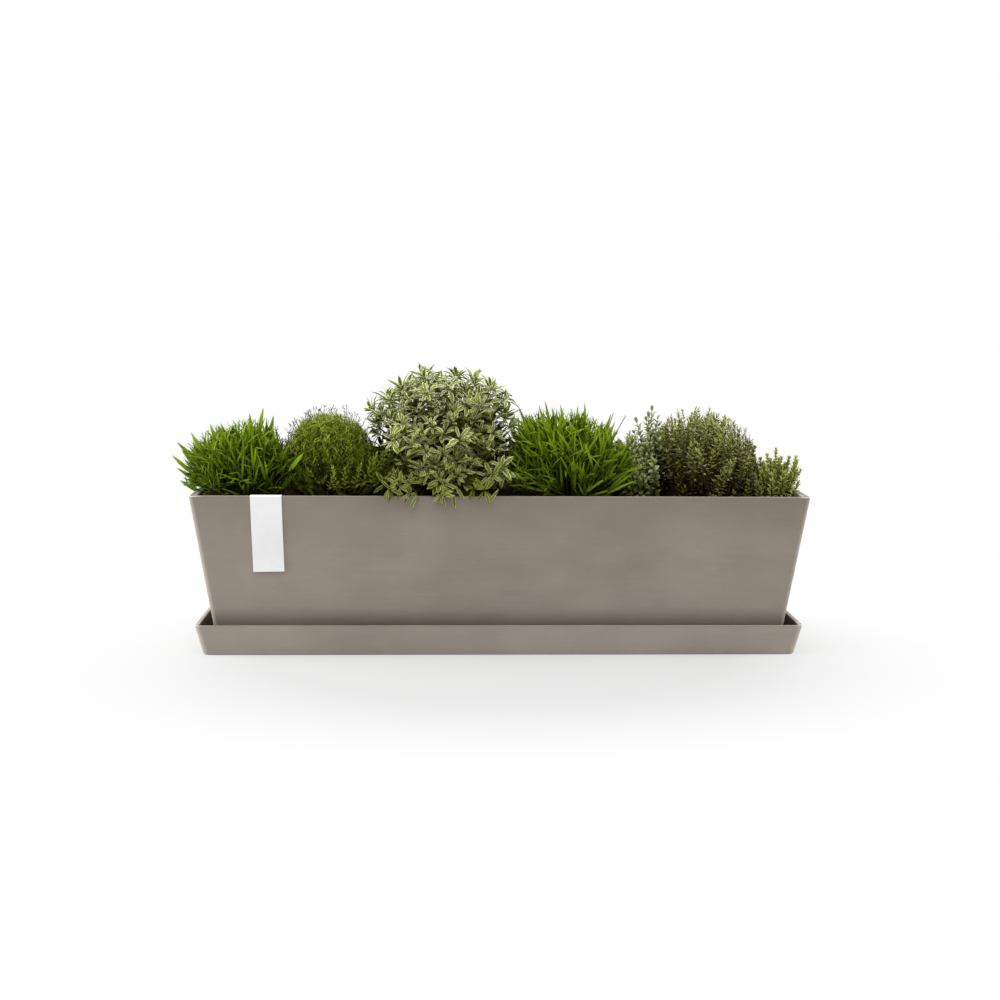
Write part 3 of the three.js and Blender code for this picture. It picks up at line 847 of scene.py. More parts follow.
class Canopy:
    """A mound over the trough's middle line, with a skyline of (x, z) and a half depth."""

    def __init__(self, skyline, depth, fullness=2.6, outline=None):
        self.xs = [x for x, _ in skyline]
        self.zs = [z for _, z in skyline]
        self.depth, self.fullness = depth, fullness
        self.centre = (self.xs[0] + self.xs[-1]) / 2
        self.half = (self.xs[-1] - self.xs[0]) / 2
        foot = RIM - 0.04
        self.outline = outline or skyline + [(self.xs[-1], foot), (self.xs[0], foot)]

    def reach(self, x):
        """How deep and how high the leaves stand at a place along the trough."""
        out = min(abs((x - self.centre) / self.half), 1.0)
        return self.depth * (1 - 0.7 * out ** 3.5), np.interp(x, self.xs, self.zs) - RIM

    def at(self, along, turn, share):
        """A point and its outward direction. turn runs from 0 at the front to pi at the back."""
        x = self.centre + self.half * along
        deep, high = self.reach(x)
        power = 2 / self.fullness
        y = -math.copysign(abs(math.cos(turn)) ** power, math.cos(turn)) * deep
        z = abs(math.sin(turn)) ** power * high
        x = self.centre + (x - self.centre) * (0.3 + 0.7 * share)
        out = Vector((along * abs(along), y / deep, z / max(high, 0.01)))
        return Vector((x, y * share, RIM + z * share)), out.normalized()

    def swell(self, point):
        """0 on the mound's middle line at the rim, 1 on its surface and more outside."""
        deep, high = self.reach(point.x)
        y = abs(point.y) / deep
        z = max(point.z - RIM, 0) / high
        return y ** self.fullness + z ** self.fullness

    def holds(self, point, slack):
        """Whether a point is within the mound, give or take some slack, and within the outline as seen."""
        seen = as_seen(point)
        return self.swell(point) < slack and within(self.outline, seen.x, seen.z)

    def openness(self, point):
        """How open a place is to the sky, from 0 deep inside to 1 on top."""
        out = self.swell(point) ** (1 / self.fullness)
        rise = (point.z - RIM) / (max(self.zs) - RIM)
        return min(max((out - 0.55) / 0.45, 0.0), 1.0) * (0.22 + 0.78 * rise)


# %% Scatter and root the leaves
HOLLOW = Vector((trough_high.x, trough_high.y)) - Vector((TROUGH_WALL, TROUGH_WALL))
RIM_CLEARANCE = 0.002


def clears_rim(start, end):
    """Whether a leaf between two points stays out of the trough's walls."""
    for step in range(1, 6):
        point = start.lerp(end, step / 5)
        over_wall = max(abs(point.x) - HOLLOW.x, abs(point.y) - HOLLOW.y) > -RIM_CLEARANCE
        if over_wall and point.z < RIM + RIM_CLEARANCE:
            return False
    return True


def scatter(chance, count):
    """Even places over a canopy, as (along from -1 to 1, turn from front to back)."""
    for i in range(count):
        along = ((i * 0.754877 + chance.uniform(0, 0.03)) % 1) * 2 - 1
        turn = ((i * 0.569840 + chance.uniform(0, 0.03)) % 1) * math.pi
        yield along, turn


def loose(chance, spread):
    """A small level step in a chance direction."""
    return Vector((chance.uniform(-spread, spread), chance.uniform(-spread, spread), 0))


def any_spot(chance, xs, ys, zs, level=0.0):
    """A chance point in a box, whose heights count from a level."""
    return Vector((chance.uniform(*xs), chance.uniform(*ys), level + chance.uniform(*zs)))


def foot_of(plant, spot, spread):
    """Where a stem that reaches a spot leaves the root ball."""
    crown = heart[plant]
    aside = Vector((spot.x - crown.x, spot.y - crown.y, 0)) * spread
    aside *= min(1.0, 0.88 * ball_radius[plant] / max(aside.length, 1e-6))
    return Vector((crown.x, crown.y, SOIL - 0.001)) + aside


def stem_to(plant, spot, spread, rise, count=5):
    """The points of a stem that rises from the root ball to a spot."""
    return bowed(foot_of(plant, spot, spread), spot, UP * rise, count)


def finish_plant(plant, routes, leaves, twig, leaf, parts=("stems", "foliage")):
    """Makes the two pieces of a plant above its root ball."""
    bm = bmesh.new()
    tubes(bm, routes)
    smooth_all(bm)
    make_piece(bm, f"{plant}_{parts[0]}_grown", twig, plant, f"{plant}_{parts[0]}")
    make_piece(leaves, f"{plant}_{parts[1]}_grown", leaf, plant, f"{plant}_{parts[1]}")


# %% [markdown]
# ## The two grasses
# Both tufts are a small bamboo-like grass: thin culms rise and arch out from a crown, and short, pointed
# blades stand off them to either side. A blade that would stick out of the outline is tried again, shorter
# and steeper, and then left off. A few tips stand where the eye expects them, and through a small gap the
# eye sees past the front blades to the dark inside. Low blades lie almost level over the rim.

# %% Grow a grass
def along_route(route, share):
    """A point on a stem and the way it grows there."""
    spot = min(max(share, 0.0), 1.0) * (len(route) - 1)
    i = min(int(spot), len(route) - 2)
    return route[i].lerp(route[i + 1], spot - i), (route[i + 1] - route[i]).normalized()


def in_gap(point, gap):
    """Whether the eye sees a point in the front half of a tuft inside a gap."""
    seen = as_seen(point)
    x, z, half_width, half_height = gap
    return point.y < 0.02 and math.hypot((seen.x - x) / half_width, (seen.z - z) / half_height) < 1


GRASS_BLADE = 0.042
BLADES_PER_CULM = 10
TRIES = 4
CULM_RADII = (0.0010, 0.0004)
LOW_CULM_RADII = (0.0010, 0.0008)


def grow_grass(plant, canopy, culms, blades, tip_blade, sizes, seed, tips, gap):
    """The blades and the stems of a tuft, with a gap = (x, z, half width, half height) that the eye sees."""
    chance = random.Random(seed)
    leaves, routes = bmesh.new(), []
    for along, turn in scatter(chance, culms):
        tip, out = canopy.at(along, turn, chance.uniform(0.46, 1.0))
        route = bowed(foot_of(plant, tip, 0.55), tip, UP * (tip.z - SOIL) * 0.3, 7)
        routes.append((route, *CULM_RADII))
        for k in range(BLADES_PER_CULM):
            step = k + chance.uniform(-0.3, 0.3)
            base, rise = along_route(route, 0.3 + 0.7 * step / (BLADES_PER_CULM - 1))
            level = rise.cross(Vector((chance.uniform(-1, 1), chance.uniform(-1, 1), 0.3))).normalized()
            for attempt in range(TRIES):
                lean = chance.uniform(0.1, 1.0) * (1 - 0.2 * attempt)
                side = level * math.sin(lean) * (1 if k % 2 else -1)
                run = (rise * math.cos(lean) + side + UP * 0.25).normalized()
                size = chance.uniform(*sizes) * (1 - 0.16 * attempt)
                end = base + run * size * GRASS_BLADE
                fits = canopy.holds(end, 1.15) and clears_rim(base, end)
                if fits and not in_gap(base.lerp(end, 0.6), gap):
                    over = UP * 0.4 + out + level * chance.uniform(-0.9, 0.9)
                    tile = shade_tile(chance, canopy.openness(end), 2.2)
                    chance.choice(blades).press(leaves, lie(base, run, over, size), tile)
                    break
    for tip in tips:
        end = Vector(tip)
        inward = Vector((heart[plant].x, heart[plant].y, RIM - 0.05)) - end
        base = end + inward.normalized() * GRASS_BLADE
        routes.append((bowed(foot_of(plant, end, 0.3), base, UP * 0.02, 7), *CULM_RADII))
        facing_eye = Vector((chance.uniform(-0.5, 0.5), -1, 0.4))
        tip_blade.press(leaves, lie(base, end - base, facing_eye), shade_tile(chance, 0.85))
    return leaves, routes, chance


# %% Grow the left grass
def blade_stamps(name, bends):
    """Blades of several bends = (arch, width)."""
    return [
        leaf_stamp(name, GRASS_BLADE, width, widest=0.36, fullness=0.75, fold=0.35, arch=arch, rings=5)
        for arch, width in bends
    ]


grass_blades = blade_stamps("grass_blade", ((0.2, 0.0036), (0.45, 0.0044), (0.8, 0.0032), (1.1, 0.0036)))
broad_blade = leaf_stamp(
    "broad_blade", GRASS_BLADE, 0.0060, widest=0.45, fullness=0.8, fold=0.25, arch=0.3, rings=5
)
culm = twig_finish("grass_culm", srgb(96, 118, 34), srgb(112, 98, 52))
GRASS_PARTS, GRASS_SLOTS = ("crown", "blades"), ("green_stem", "grass_leaf")
deep_grass = leaf_finish(
    "deep_grass_leaf", deep=srgb(13, 23, 2), light=srgb(101, 131, 9), tip=srgb(140, 160, 28),
    rib=srgb(118, 144, 26), foot=0.85,
)
left_skyline = [
    (-0.428, 0.240), (-0.423, 0.262), (-0.412, 0.277), (-0.389, 0.293), (-0.361, 0.302), (-0.332, 0.306),
    (-0.305, 0.304), (-0.288, 0.286), (-0.266, 0.256), (-0.262, 0.225),
]
left_tips = [
    (-0.318, 0, 0.317), (-0.334, 0.01, 0.309), (-0.438, -0.01, 0.253), (-0.427, -0.02, 0.273),
    (-0.415, 0, 0.283), (-0.303, 0.01, 0.306), (-0.257, -0.090, 0.264), (-0.389, 0, 0.295),
    (-0.421, -0.04, 0.223), (-0.426, -0.03, 0.240), (-0.270, -0.050, 0.236), (-0.280, -0.040, 0.270),
    (-0.423, -0.02, 0.261),
]
left_gap = (-0.300, 0.226, 0.014, 0.008)
left_canopy = Canopy(left_skyline, depth=0.084)
leaves, routes, chance = grow_grass(
    "left_grass", left_canopy, culms=270, blades=grass_blades, tip_blade=broad_blade,
    sizes=(0.5, 1.0), seed=5, tips=left_tips, gap=left_gap,
)
LOW_BLADES = 150
for i in range(LOW_BLADES):
    end = any_spot(chance, (-0.414, -0.390), (-0.086, 0.060), (0.007, 0.024), RIM)
    x, y = chance.uniform(-0.384, -0.370), end.y + chance.uniform(-0.008, 0.008)
    base = Vector((x, y, RIM + chance.uniform(0.0, 0.008)))
    if clears_rim(base, end - UP * 0.004):
        routes.append((stem_to("left_grass", base, 0.6, 0.004), *LOW_CULM_RADII))
        place = lie(base, end - base, UP + loose(chance, 0.8), (end - base).length / GRASS_BLADE)
        grass_blades[0].press(leaves, place, shade_tile(chance, 0.35, 2.0))
finish_plant("left_grass", routes, leaves, culm, deep_grass, GRASS_PARTS)

# %% [markdown]
# The brighter grass is the same kind with longer blades that stand up like a fan. At its right foot long
# straps lie over towards the next plant, at its left foot short blades lie over the rim, and two bare
# culms stand out at its right shoulder.

# %% Grow the brighter grass
bright_grass = leaf_finish(
    "bright_grass_leaf", deep=srgb(14, 26, 1), light=srgb(102, 132, 8), tip=srgb(154, 176, 24),
    rib=srgb(126, 152, 26), foot=0.85,
)
right_skyline = [
    (-0.008, 0.240), (0.002, 0.268), (0.014, 0.302), (0.030, 0.315), (0.060, 0.320), (0.090, 0.320),
    (0.117, 0.319), (0.136, 0.304), (0.156, 0.298), (0.172, 0.272), (0.192, 0.240),
]
right_tips = [
    (0.060, 0, 0.328), (0.052, 0, 0.322), (0.023, 0, 0.321), (0.083, 0, 0.324), (0.107, 0, 0.322),
    (0.117, 0, 0.326), (0.151, 0, 0.312), (0.156, 0, 0.301), (0.196, -0.03, 0.236),
]
right_gap = (0.093, 0.214, 0.019, 0.013)
slim_blades = blade_stamps("slim_blade", ((0.2, 0.0034), (0.4, 0.0040), (0.7, 0.0032), (1.0, 0.0036)))
strap = leaf_stamp("strap", 0.056, 0.0034, widest=0.35, fullness=0.65, fold=0.3, arch=0.8, rings=6)
right_canopy = Canopy(right_skyline, depth=0.096)
leaves, routes, chance = grow_grass(
    "right_grass", right_canopy, culms=300, blades=slim_blades, tip_blade=slim_blades[1],
    sizes=(0.66, 1.12), seed=8, tips=right_tips, gap=right_gap,
)
print("the brighter grass has", len(routes), "culms")

# %% Lay its low blades
STRAPS = 75
SHORT_BLADES = 70
for i in range(STRAPS):
    base = any_spot(chance, (0.100, 0.150), (-0.082, 0.020), (-0.004, 0.014), RIM)
    run = any_spot(chance, (0.4, 1.0), (-0.12, 0.12), (0.25, 0.8)).normalized()
    size = chance.uniform(0.7, 1.1)
    over = Vector((chance.uniform(-0.6, 0.6), -0.7, 0.7))
    routes.append((stem_to("right_grass", base, 0.6, 0.004), *LOW_CULM_RADII))
    tile = shade_tile(chance, chance.uniform(0.1, 0.85))
    strap.press(leaves, lie(base, run, over, size), tile)
for i in range(SHORT_BLADES):
    base = any_spot(chance, (0.006, 0.054), (-0.084, 0.010), (0.004, 0.026), RIM)
    run = any_spot(chance, (-1.0, 0.2), (-0.5, 0.1), (0.0, 0.9)).normalized()
    size = chance.uniform(0.6, 0.95)
    if clears_rim(base, base + run * size * GRASS_BLADE):
        routes.append((stem_to("right_grass", base, 0.6, 0.004), *LOW_CULM_RADII))
        over = Vector((chance.uniform(-0.6, 0.6), -0.7, 0.7))
        chance.choice(slim_blades).press(leaves, lie(base, run, over, size), shade_tile(chance, 0.35, 2.5))
bare_culms = (((0.156, 0, 0.283), (0.1695, 0, 0.308)), ((0.147, 0, 0.293), (0.1525, 0, 0.311)))
for foot, tip in bare_culms:
    routes.append((stem_to("right_grass", Vector(foot), 0.5, 0.02, 7) + [Vector(tip)], 0.0010, 0.0005))
finish_plant("right_grass", routes, leaves, culm, bright_grass, GRASS_PARTS)

# %% [markdown]
# ## The heath
# A cushion of needles. Each sprig is a short shoot set with three-sided needles in a spiral, and sprigs
# stand out all over the mound. Its top is a fur of fine strands, with thread-thin, forked stalks above it.
# Round its foot longer, leafy shoots rise.

# %% Model a needle
def needle_stamp(name, length, width):
    bm = bmesh.new()
    place = Matrix.Translation((0, 0, length / 2))
    bmesh.ops.create_cone(
        bm, cap_ends=True, segments=3, radius1=width / 2, radius2=0, depth=length, matrix=place
    )
    bmesh.ops.remove_doubles(bm, verts=bm.verts, dist=1e-6)
    layer = bm.loops.layers.uv.new(MAP)
    for face in bm.faces:
        for i, loop in enumerate(face.loops):
            loop[layer].uv = (0.25 + 0.25 * i, loop.vert.co.z / length)
    return Stamp(bm, name)


# %% Grow shoots over a canopy
NEAR = 1.3


def grow_shoots(plant, canopy, stamps, count, seed, sizes, sink, stem_radius, upward, wander, bare, fall):
    """Sprigs over a canopy, each on a twig. Where it is less open than bare most sprigs are left off.

    stamps = (sprig, length) and sink is the share of the way out. Painted shade darkens tones inwards by the
    power of fall.
    """
    chance = random.Random(seed)
    leaves, routes = bmesh.new(), []
    for along, turn in scatter(chance, count):
        size = chance.uniform(*sizes)
        tip, out = canopy.at(along, turn, chance.uniform(*sink))
        jitter = any_spot(chance, (-1, 1), (-1, 1), (-0.6, 1))
        run = (out + UP * upward + jitter * wander).normalized()
        stamp, length = chance.choice(stamps)
        base = tip - run * length * size
        stem = stem_to(plant, base, 0.3, 0.01)
        routes.append((stem + [tip - run * length * size * 0.15], stem_radius, 0.0003))
        light = canopy.openness(tip)
        if canopy.holds(tip, NEAR) and (light > bare or chance.random() < 0.15):
            tile = shade_tile(chance, light ** fall, 1.6)
            stamp.press(leaves, lie(base, run, out.orthogonal(), size), tile)
    return leaves, routes, chance


# %% Grow the heath
needle = needle_stamp("needle", 0.0072, 0.0011)
long_sprig = sprig_stamp(
    "needle_sprig", needle, 0.022, turns=10, whorl=3,
    tilt=(1.1, 0.35), sizes=(1.0, 0.75), step_turn=0.75, start=0.1,
)
short_sprig = sprig_stamp(
    "needle_sprig", needle, 0.016, turns=8, whorl=3,
    tilt=(1.0, 0.3), sizes=(0.95, 0.8), step_turn=0.6, start=0.1,
)
needle_sprigs = [(long_sprig, 0.027), (short_sprig, 0.021)]
heath_skyline = [
    (-0.293, 0.240), (-0.287, 0.268), (-0.278, 0.290), (-0.266, 0.302), (-0.249, 0.311), (-0.228, 0.314),
    (-0.208, 0.311), (-0.191, 0.302), (-0.179, 0.288), (-0.169, 0.270), (-0.153, 0.247), (-0.140, 0.225),
]
heath_canopy = Canopy(heath_skyline, depth=0.088, fullness=2.4)
leaves, routes, chance = grow_shoots(
    "heath", heath_canopy, needle_sprigs, count=780, seed=21, sizes=(0.75, 1.15), sink=(0.76, 1.0),
    stem_radius=0.0006, upward=0.3, wander=0.9, bare=0.0, fall=2.6,
)
print("the heath has", len(routes), "twigs")

# %% Cover its top with strands
STRANDS = 3300
STRANDS_FROM = RIM + 0.042
strands = [
    leaf_stamp("strand", 0.013, 0.0009, widest=0.4, fullness=0.8, fold=0.3, arch=arch, rings=3)
    for arch in (0.5, 1.2, 1.9)
]
for along, turn in scatter(chance, STRANDS):
    tip, out = heath_canopy.at(along * 0.9, 0.3 + turn * 0.78, chance.uniform(0.9, 1.04))
    sway = any_spot(chance, (-1, 1), (-1, 1), (-0.3, 0.3))
    run = (UP * 0.5 + out * 0.5 + sway).normalized()
    size = chance.uniform(0.6, 1.2)
    if heath_canopy.holds(tip, NEAR) and tip.z > STRANDS_FROM:
        over = out + UP * 0.3 + sway
        tile = shade_tile(chance, 0.9 * heath_canopy.openness(tip) ** 3.2, 2.4)
        chance.choice(strands).press(leaves, lie(tip - run * 0.011 * size, run, over, size), tile)
print("needles and strands have", len(leaves.faces), "faces")

# %% Add the threads and the leafy shoots
THREADS = 64
THREAD_RADII = (0.0004, 0.00025)
for i in range(THREADS):
    along = chance.choice((chance.uniform(-0.98, -0.35), chance.uniform(-0.6, 0.75)))
    tip, out = heath_canopy.at(along, chance.uniform(1.15, 2.1), 0.98)
    run = (UP * 0.8 + out * 0.4 + loose(chance, 0.7)).normalized()
    reach = chance.uniform(0.004, 0.013)
    end = tip + run * reach + loose(chance, 0.003)
    routes.append(([tip - run * 0.02, tip, tip + run * reach * 0.5, end], *THREAD_RADII))
    for k in range(2):
        fork = tip.lerp(end, chance.uniform(0.3, 0.9))
        routes.append(([fork, fork + (run + loose(chance, 1.2)).normalized() * 0.004], *THREAD_RADII))
shoot_leaf = leaf_stamp("shoot_leaf", 0.013, 0.0034, widest=0.45, fullness=0.8, fold=0.3, arch=0.4, rings=4)
leafy_shoot = sprig_stamp(
    "leafy_shoot", shoot_leaf, 0.050, turns=12, whorl=2,
    tilt=(1.05, 0.35), sizes=(1.0, 0.6), step_turn=1.75, start=0.15,
)
# Shoots that stand out in front and are painted pale as lit, as (foot, way, size)
shoots = [
    ((-0.202, -0.086, 0.214), (0.02, -0.16, 1.0), 0.62), ((-0.184, -0.086, 0.214), (0.42, -0.14, 0.9), 1.05),
    ((-0.190, -0.085, 0.214), (0.25, -0.15, 1.0), 0.72), ((-0.168, -0.080, 0.214), (0.10, -0.18, 1.0), 0.80),
    ((-0.224, -0.086, 0.214), (0.30, -0.15, 0.8), 0.50), ((-0.212, -0.084, 0.214), (-0.15, -0.16, 1.0), 0.66),
]
lit_shoots = len(shoots)
FOOT_SHOOTS = 64
for i in range(FOOT_SHOOTS):
    foot = any_spot(chance, (-0.232, -0.146), (-0.082, 0.060), (0.213, 0.236))
    way = Vector(((foot.x + 0.205) * 12 + chance.uniform(-0.5, 0.5), chance.uniform(-0.4, 0.2), 0.9))
    shoots.append((foot, way, chance.uniform(0.5, 0.95)))
# Upright shoots at the left and at the right of the back, as (count, xs, ys, zs, looseness, largest size)
upright = [
    (40, (-0.288, -0.266), (-0.050, 0.070), (0.213, 0.228), 0.35, 0.9),
    (16, (-0.156, -0.122), (0.020, 0.075), (0.213, 0.222), 0.5, 0.8),
]
for count, xs, ys, zs, looseness, largest in upright:
    for i in range(count):
        foot = any_spot(chance, xs, ys, zs)
        shoots.append((foot, UP + loose(chance, looseness), chance.uniform(0.5, largest)))
for i, (foot, way, size) in enumerate(shoots):
    foot, run = Vector(foot), Vector(way).normalized()
    # Painted light: the front shoots get lit tiles, the others shaded ones
    light = chance.uniform(0.6, 0.9) if i < lit_shoots else chance.uniform(0.0, 0.38)
    leafy_shoot.press(leaves, lie(foot, run, UP, size), shade_tile(chance, light))
    routes.append((stem_to("heath", foot, 0.5, 0.01) + [foot + run * 0.045 * size], 0.0009, 0.0003))
heath_leaf = leaf_finish(
    "heath_needle", deep=srgb(11, 17, 1), light=srgb(115, 137, 7), tip=srgb(200, 212, 80),
    rib=srgb(134, 154, 38), roughness=0.65, variety=0.75,
)
thread = twig_finish("heath_thread", srgb(128, 112, 88), srgb(66, 50, 34))
finish_plant("heath", routes, leaves, thread, heath_leaf)

# %% [markdown]
# ## The variegated shrub
# The tallest plant carries rosettes of cream-edged leaves at the ends of reddish brown twigs. The outline
# is made by rosettes that stand where the eye sees them. Over the rest of the mound rosettes are thrown at
# chance and kept where they are far enough from the others, so each stays distinct, and ones painted dark
# as shade fill the space behind. At the front foot a row of flat ones bends over the rim, and single leaves
# hang down.

# %% Model a rosette
def rosette_stamp(name, leaf, seed, tiers):
    """Leaves round a tip in tiers = (count, lean, size, rise)."""
    chance = random.Random(seed)
    bm = bmesh.new()
    for count, lean, size, rise in tiers:
        first = chance.uniform(0, 2 * math.pi)
        for k in range(count):
            turn = first + k * 2 * math.pi / count + chance.uniform(-0.45, 0.45)
            tilt = lean + chance.uniform(-0.35, 0.35)
            out, along, over = leaning(turn, tilt)
            leaf.press(bm, lie(UP * rise + out * 0.001, along, over, size * chance.uniform(0.62, 1.15)))
    return Stamp(bm, name)


SHRUB_LEAF = 0.0245
FULL_TIERS = ((5, 1.2, 1.0, 0.0), (5, 0.85, 0.95, 0.003), (3, 0.4, 0.72, 0.006))
FLAT_TIERS = ((4, 1.5, 1.0, 0.0), (3, 1.25, 0.8, 0.002))
shrub_leaves = [
    leaf_stamp(
        "shrub_leaf", SHRUB_LEAF, 0.0062, widest=0.52, fullness=0.9, fold=0.3, arch=arch,
        rings=5, thick=0.0006,
    )
    for arch in (0.4, 0.8, 1.2)
]
slim_leaf = leaf_stamp(
    "slim_leaf", SHRUB_LEAF, 0.0042, widest=0.5, fullness=0.9, fold=0.3, arch=0.4, rings=5, thick=0.0006
)
rosettes = [rosette_stamp("rosette", shrub_leaves[seed % 3], seed, FULL_TIERS) for seed in range(8)]
flat_rosettes = [rosette_stamp("flat_rosette", shrub_leaves[0], seed, FLAT_TIERS) for seed in range(4)]
print("modelled", len(rosettes), "full and", len(flat_rosettes), "flat rosettes")

# %% Place the rosettes
shrub_outline = [
    (-0.141, 0.176), (-0.152, 0.222), (-0.146, 0.245), (-0.155, 0.262), (-0.176, 0.282), (-0.184, 0.300),
    (-0.190, 0.330), (-0.168, 0.342), (-0.143, 0.354), (-0.130, 0.364), (-0.105, 0.379), (-0.073, 0.380),
    (-0.048, 0.375), (-0.012, 0.362), (0.009, 0.356), (0.022, 0.340), (0.028, 0.313), (0.025, 0.285),
    (0.031, 0.266), (0.020, 0.234), (0.008, 0.200), (-0.020, 0.180),
]
shrub_skyline = [
    (-0.172, 0.300), (-0.164, 0.318), (-0.148, 0.332), (-0.128, 0.347), (-0.105, 0.361), (-0.073, 0.363),
    (-0.040, 0.359), (-0.010, 0.347), (0.006, 0.332), (0.016, 0.300),
]
shrub_canopy = Canopy(shrub_skyline, depth=0.098, fullness=2.5, outline=shrub_outline)
# Rosettes of the outline, as the (x, z) of a tip and the way that it looks
outline_rosettes = [
    (-0.168, 0.324, -1.0, 0.5), (-0.148, 0.338, -0.5, 1.0), (-0.128, 0.352, -0.5, 1.0),
    (-0.104, 0.367, -0.4, 1.0), (-0.084, 0.366, 0.1, 1.0), (-0.060, 0.365, 0.1, 1.0),
    (-0.036, 0.362, 0.5, 1.0), (-0.012, 0.353, 0.8, 1.0), (0.006, 0.338, 0.9, 0.7),
    (0.012, 0.304, 1.0, 0.5), (0.012, 0.272, 1.0, 0.3), (-0.160, 0.296, -1.0, 0.2),
]
ROSETTE_SIDE = Vector((0.017, 0, 0))


def throw_rosettes(chance, seats, count, sink, spacing):
    """Adds rosettes over the canopy that keep their distance from each other."""
    kept = [seat for seat, _ in seats]
    for along, turn in scatter(chance, count):
        seat, out = shrub_canopy.at(along, turn, chance.uniform(*sink))
        look = out * 0.55 + UP * 0.75 + loose(chance, 0.55)
        corners = [seat + look.normalized() * 0.016, seat - ROSETTE_SIDE, seat + ROSETTE_SIDE]
        reach = seat + Vector((0, math.copysign(0.024, seat.y), -0.010))
        inside = all(shrub_canopy.holds(corner, 1.35) for corner in corners) and clears_rim(seat, reach)
        if inside and all((seat - other).length > spacing for other in kept):
            kept.append(seat)
            seats.append((seat, look))


chance = random.Random(33)
seats = []
for x, z, side, rise in outline_rosettes:
    for y in (chance.uniform(-0.03, -0.005), chance.uniform(0.015, 0.050)):
        seat = Vector((x + chance.uniform(-0.004, 0.004), y, z - 0.013))
        seats.append((seat, Vector((side, y * 8, rise + 0.2))))
for x in (-0.134, -0.110, -0.088, -0.064, -0.042, -0.020, -0.002, 0.006):
    spot = Vector((x, chance.uniform(-0.078, -0.062), RIM + chance.uniform(0.016, 0.034)))
    seats.append((spot, Vector((0, -0.6, 0.6)) + loose(chance, 0.5)))
throw_rosettes(chance, seats, count=2200, sink=(0.84, 0.97), spacing=0.0165)
outer = len(seats)
throw_rosettes(chance, seats, count=900, sink=(0.45, 0.74), spacing=0.017)
FOOT_ROSETTES = 26
for i in range(FOOT_ROSETTES):
    x = chance.choice((chance.uniform(-0.164, -0.134), chance.uniform(-0.022, 0.012)))
    spot = Vector((x, chance.uniform(-0.010, 0.060), RIM + chance.uniform(0.012, 0.056)))
    seats.append((spot, UP + loose(chance, 0.8)))
print("the shrub carries", outer, "rosettes outside and", len(seats) - outer, "within")

# %% Bend leaves over the rim
# Rosettes that bend over the front rim, as (x, height over the rim, sideways look)
drooping = [
    (-0.143, 0.011, -0.5), (-0.119, 0.004, 0.4), (-0.076, 0.003, -0.6), (-0.062, 0.005, 0.6),
    (-0.024, 0.008, 0.4),
]
DROOPING_ROW = 13
TWIGS_CROSS = -0.084
ROSETTES_HANG = -0.1030
LEAVES_HANG = -0.1075
for i in range(DROOPING_ROW):
    x = -0.150 + 0.0115 * i + chance.uniform(-0.005, 0.005)
    drooping.append((x, chance.uniform(0.010, 0.032), chance.uniform(-1, 1)))
leaves, routes = bmesh.new(), []
for x, rise, side in drooping:
    seat = Vector((x, ROSETTES_HANG + 0.5 * max(rise - 0.010, 0), RIM + rise))
    over = Vector((x * 0.98, TWIGS_CROSS, RIM + rise + 0.006))
    look = Vector((side, -0.9, chance.uniform(0.0, 0.6)))
    place = lie(seat, look, UP + loose(chance, 1.2), chance.uniform(0.6, 0.95))
    chance.choice(flat_rosettes).press(leaves, place, shade_tile(chance, 0.3, 2.0))
    routes.append((stem_to("variegated_shrub", over, 0.3, 0.02, 7) + [seat], 0.0014, 0.0007))
# Single leaves that hang down the front, as the x of a tip, its drop under the rim and its sideways lean
hanging = [
    (-0.143, 0.008, -0.2), (-0.119, 0.018, -0.5), (-0.124, 0.009, -0.3), (-0.085, 0.008, -0.8),
    (-0.073, 0.016, 0.2), (-0.060, 0.018, 0.1), (-0.048, 0.005, 0.6), (-0.018, 0.009, -0.7),
]
for x, drop, side in hanging:
    tip = Vector((x, LEAVES_HANG, RIM - drop))
    base = tip + Vector((-side, 0.2, 1.0)).normalized() * SHRUB_LEAF
    over = Vector((x * 0.98, TWIGS_CROSS, RIM + 0.012))
    place = lie(base, tip - base, Vector((0, -1, 0.3)) + loose(chance, 0.7))
    slim_leaf.press(leaves, place, shade_tile(chance, 0.35, 2.0))
    routes.append((stem_to("variegated_shrub", over, 0.3, 0.02, 7) + [base], 0.0012, 0.0005))
print(len(drooping), "rosettes and", len(hanging), "leaves bend over the rim")

# %% Grow the variegated shrub
for i, (seat, look) in enumerate(seats):
    run = look.normalized()
    # Painted light: open rosettes get lit tiles, and the ones within are painted dark as shade
    light = 0.18 + 0.98 * shrub_canopy.openness(seat)
    if i >= outer:
        light *= 0.35
    place = lie(seat, run, loose(chance, 1.0) + UP * 0.2, chance.uniform(0.72, 1.14))
    chance.choice(rosettes).press(leaves, place, shade_tile(chance, light, 2.0))
    twig = bowed(foot_of("variegated_shrub", seat, 0.2), seat, UP * 0.02 - run * 0.02, 7)
    routes.append((twig, 0.0016, 0.0007))
cream_edged = leaf_finish(
    "cream_edged_leaf", deep=srgb(32, 44, 1), light=srgb(119, 135, 16), tip=srgb(136, 148, 36),
    rib=srgb(152, 164, 60), margins=(srgb(146, 148, 46), srgb(255, 253, 226)), roughness=0.45,
)
red_twig = twig_finish("reddish_twig", srgb(126, 96, 62), srgb(74, 54, 38))
finish_plant("variegated_shrub", routes, leaves, red_twig, cream_edged)

# %% [markdown]
# ## Hebe, thyme and dwarf box
# Three small-leaved plants differ in their shoots. The hebe's oval grey leaves stand in crossed pairs up
# straight stems. The thyme is a bush of short, fine shoots over bare brown twigs. The dwarf box has dense,
# upright spikes like bottle brushes.

# %% Set pairs of leaves on upright shoots
def paired_sprigs(name, leaf, axes, tilt, sizes, tip):
    """Sprigs of crossed pairs on axes = (length, pairs), with the length to the end of the top leaves."""
    made = []
    for seed, (length, pairs) in enumerate(axes):
        stamp = sprig_stamp(name, leaf, length, pairs, 2, tilt, sizes, math.pi / 2, seed=seed, wild=0.4)
        made.append((stamp, length + tip))
    return made


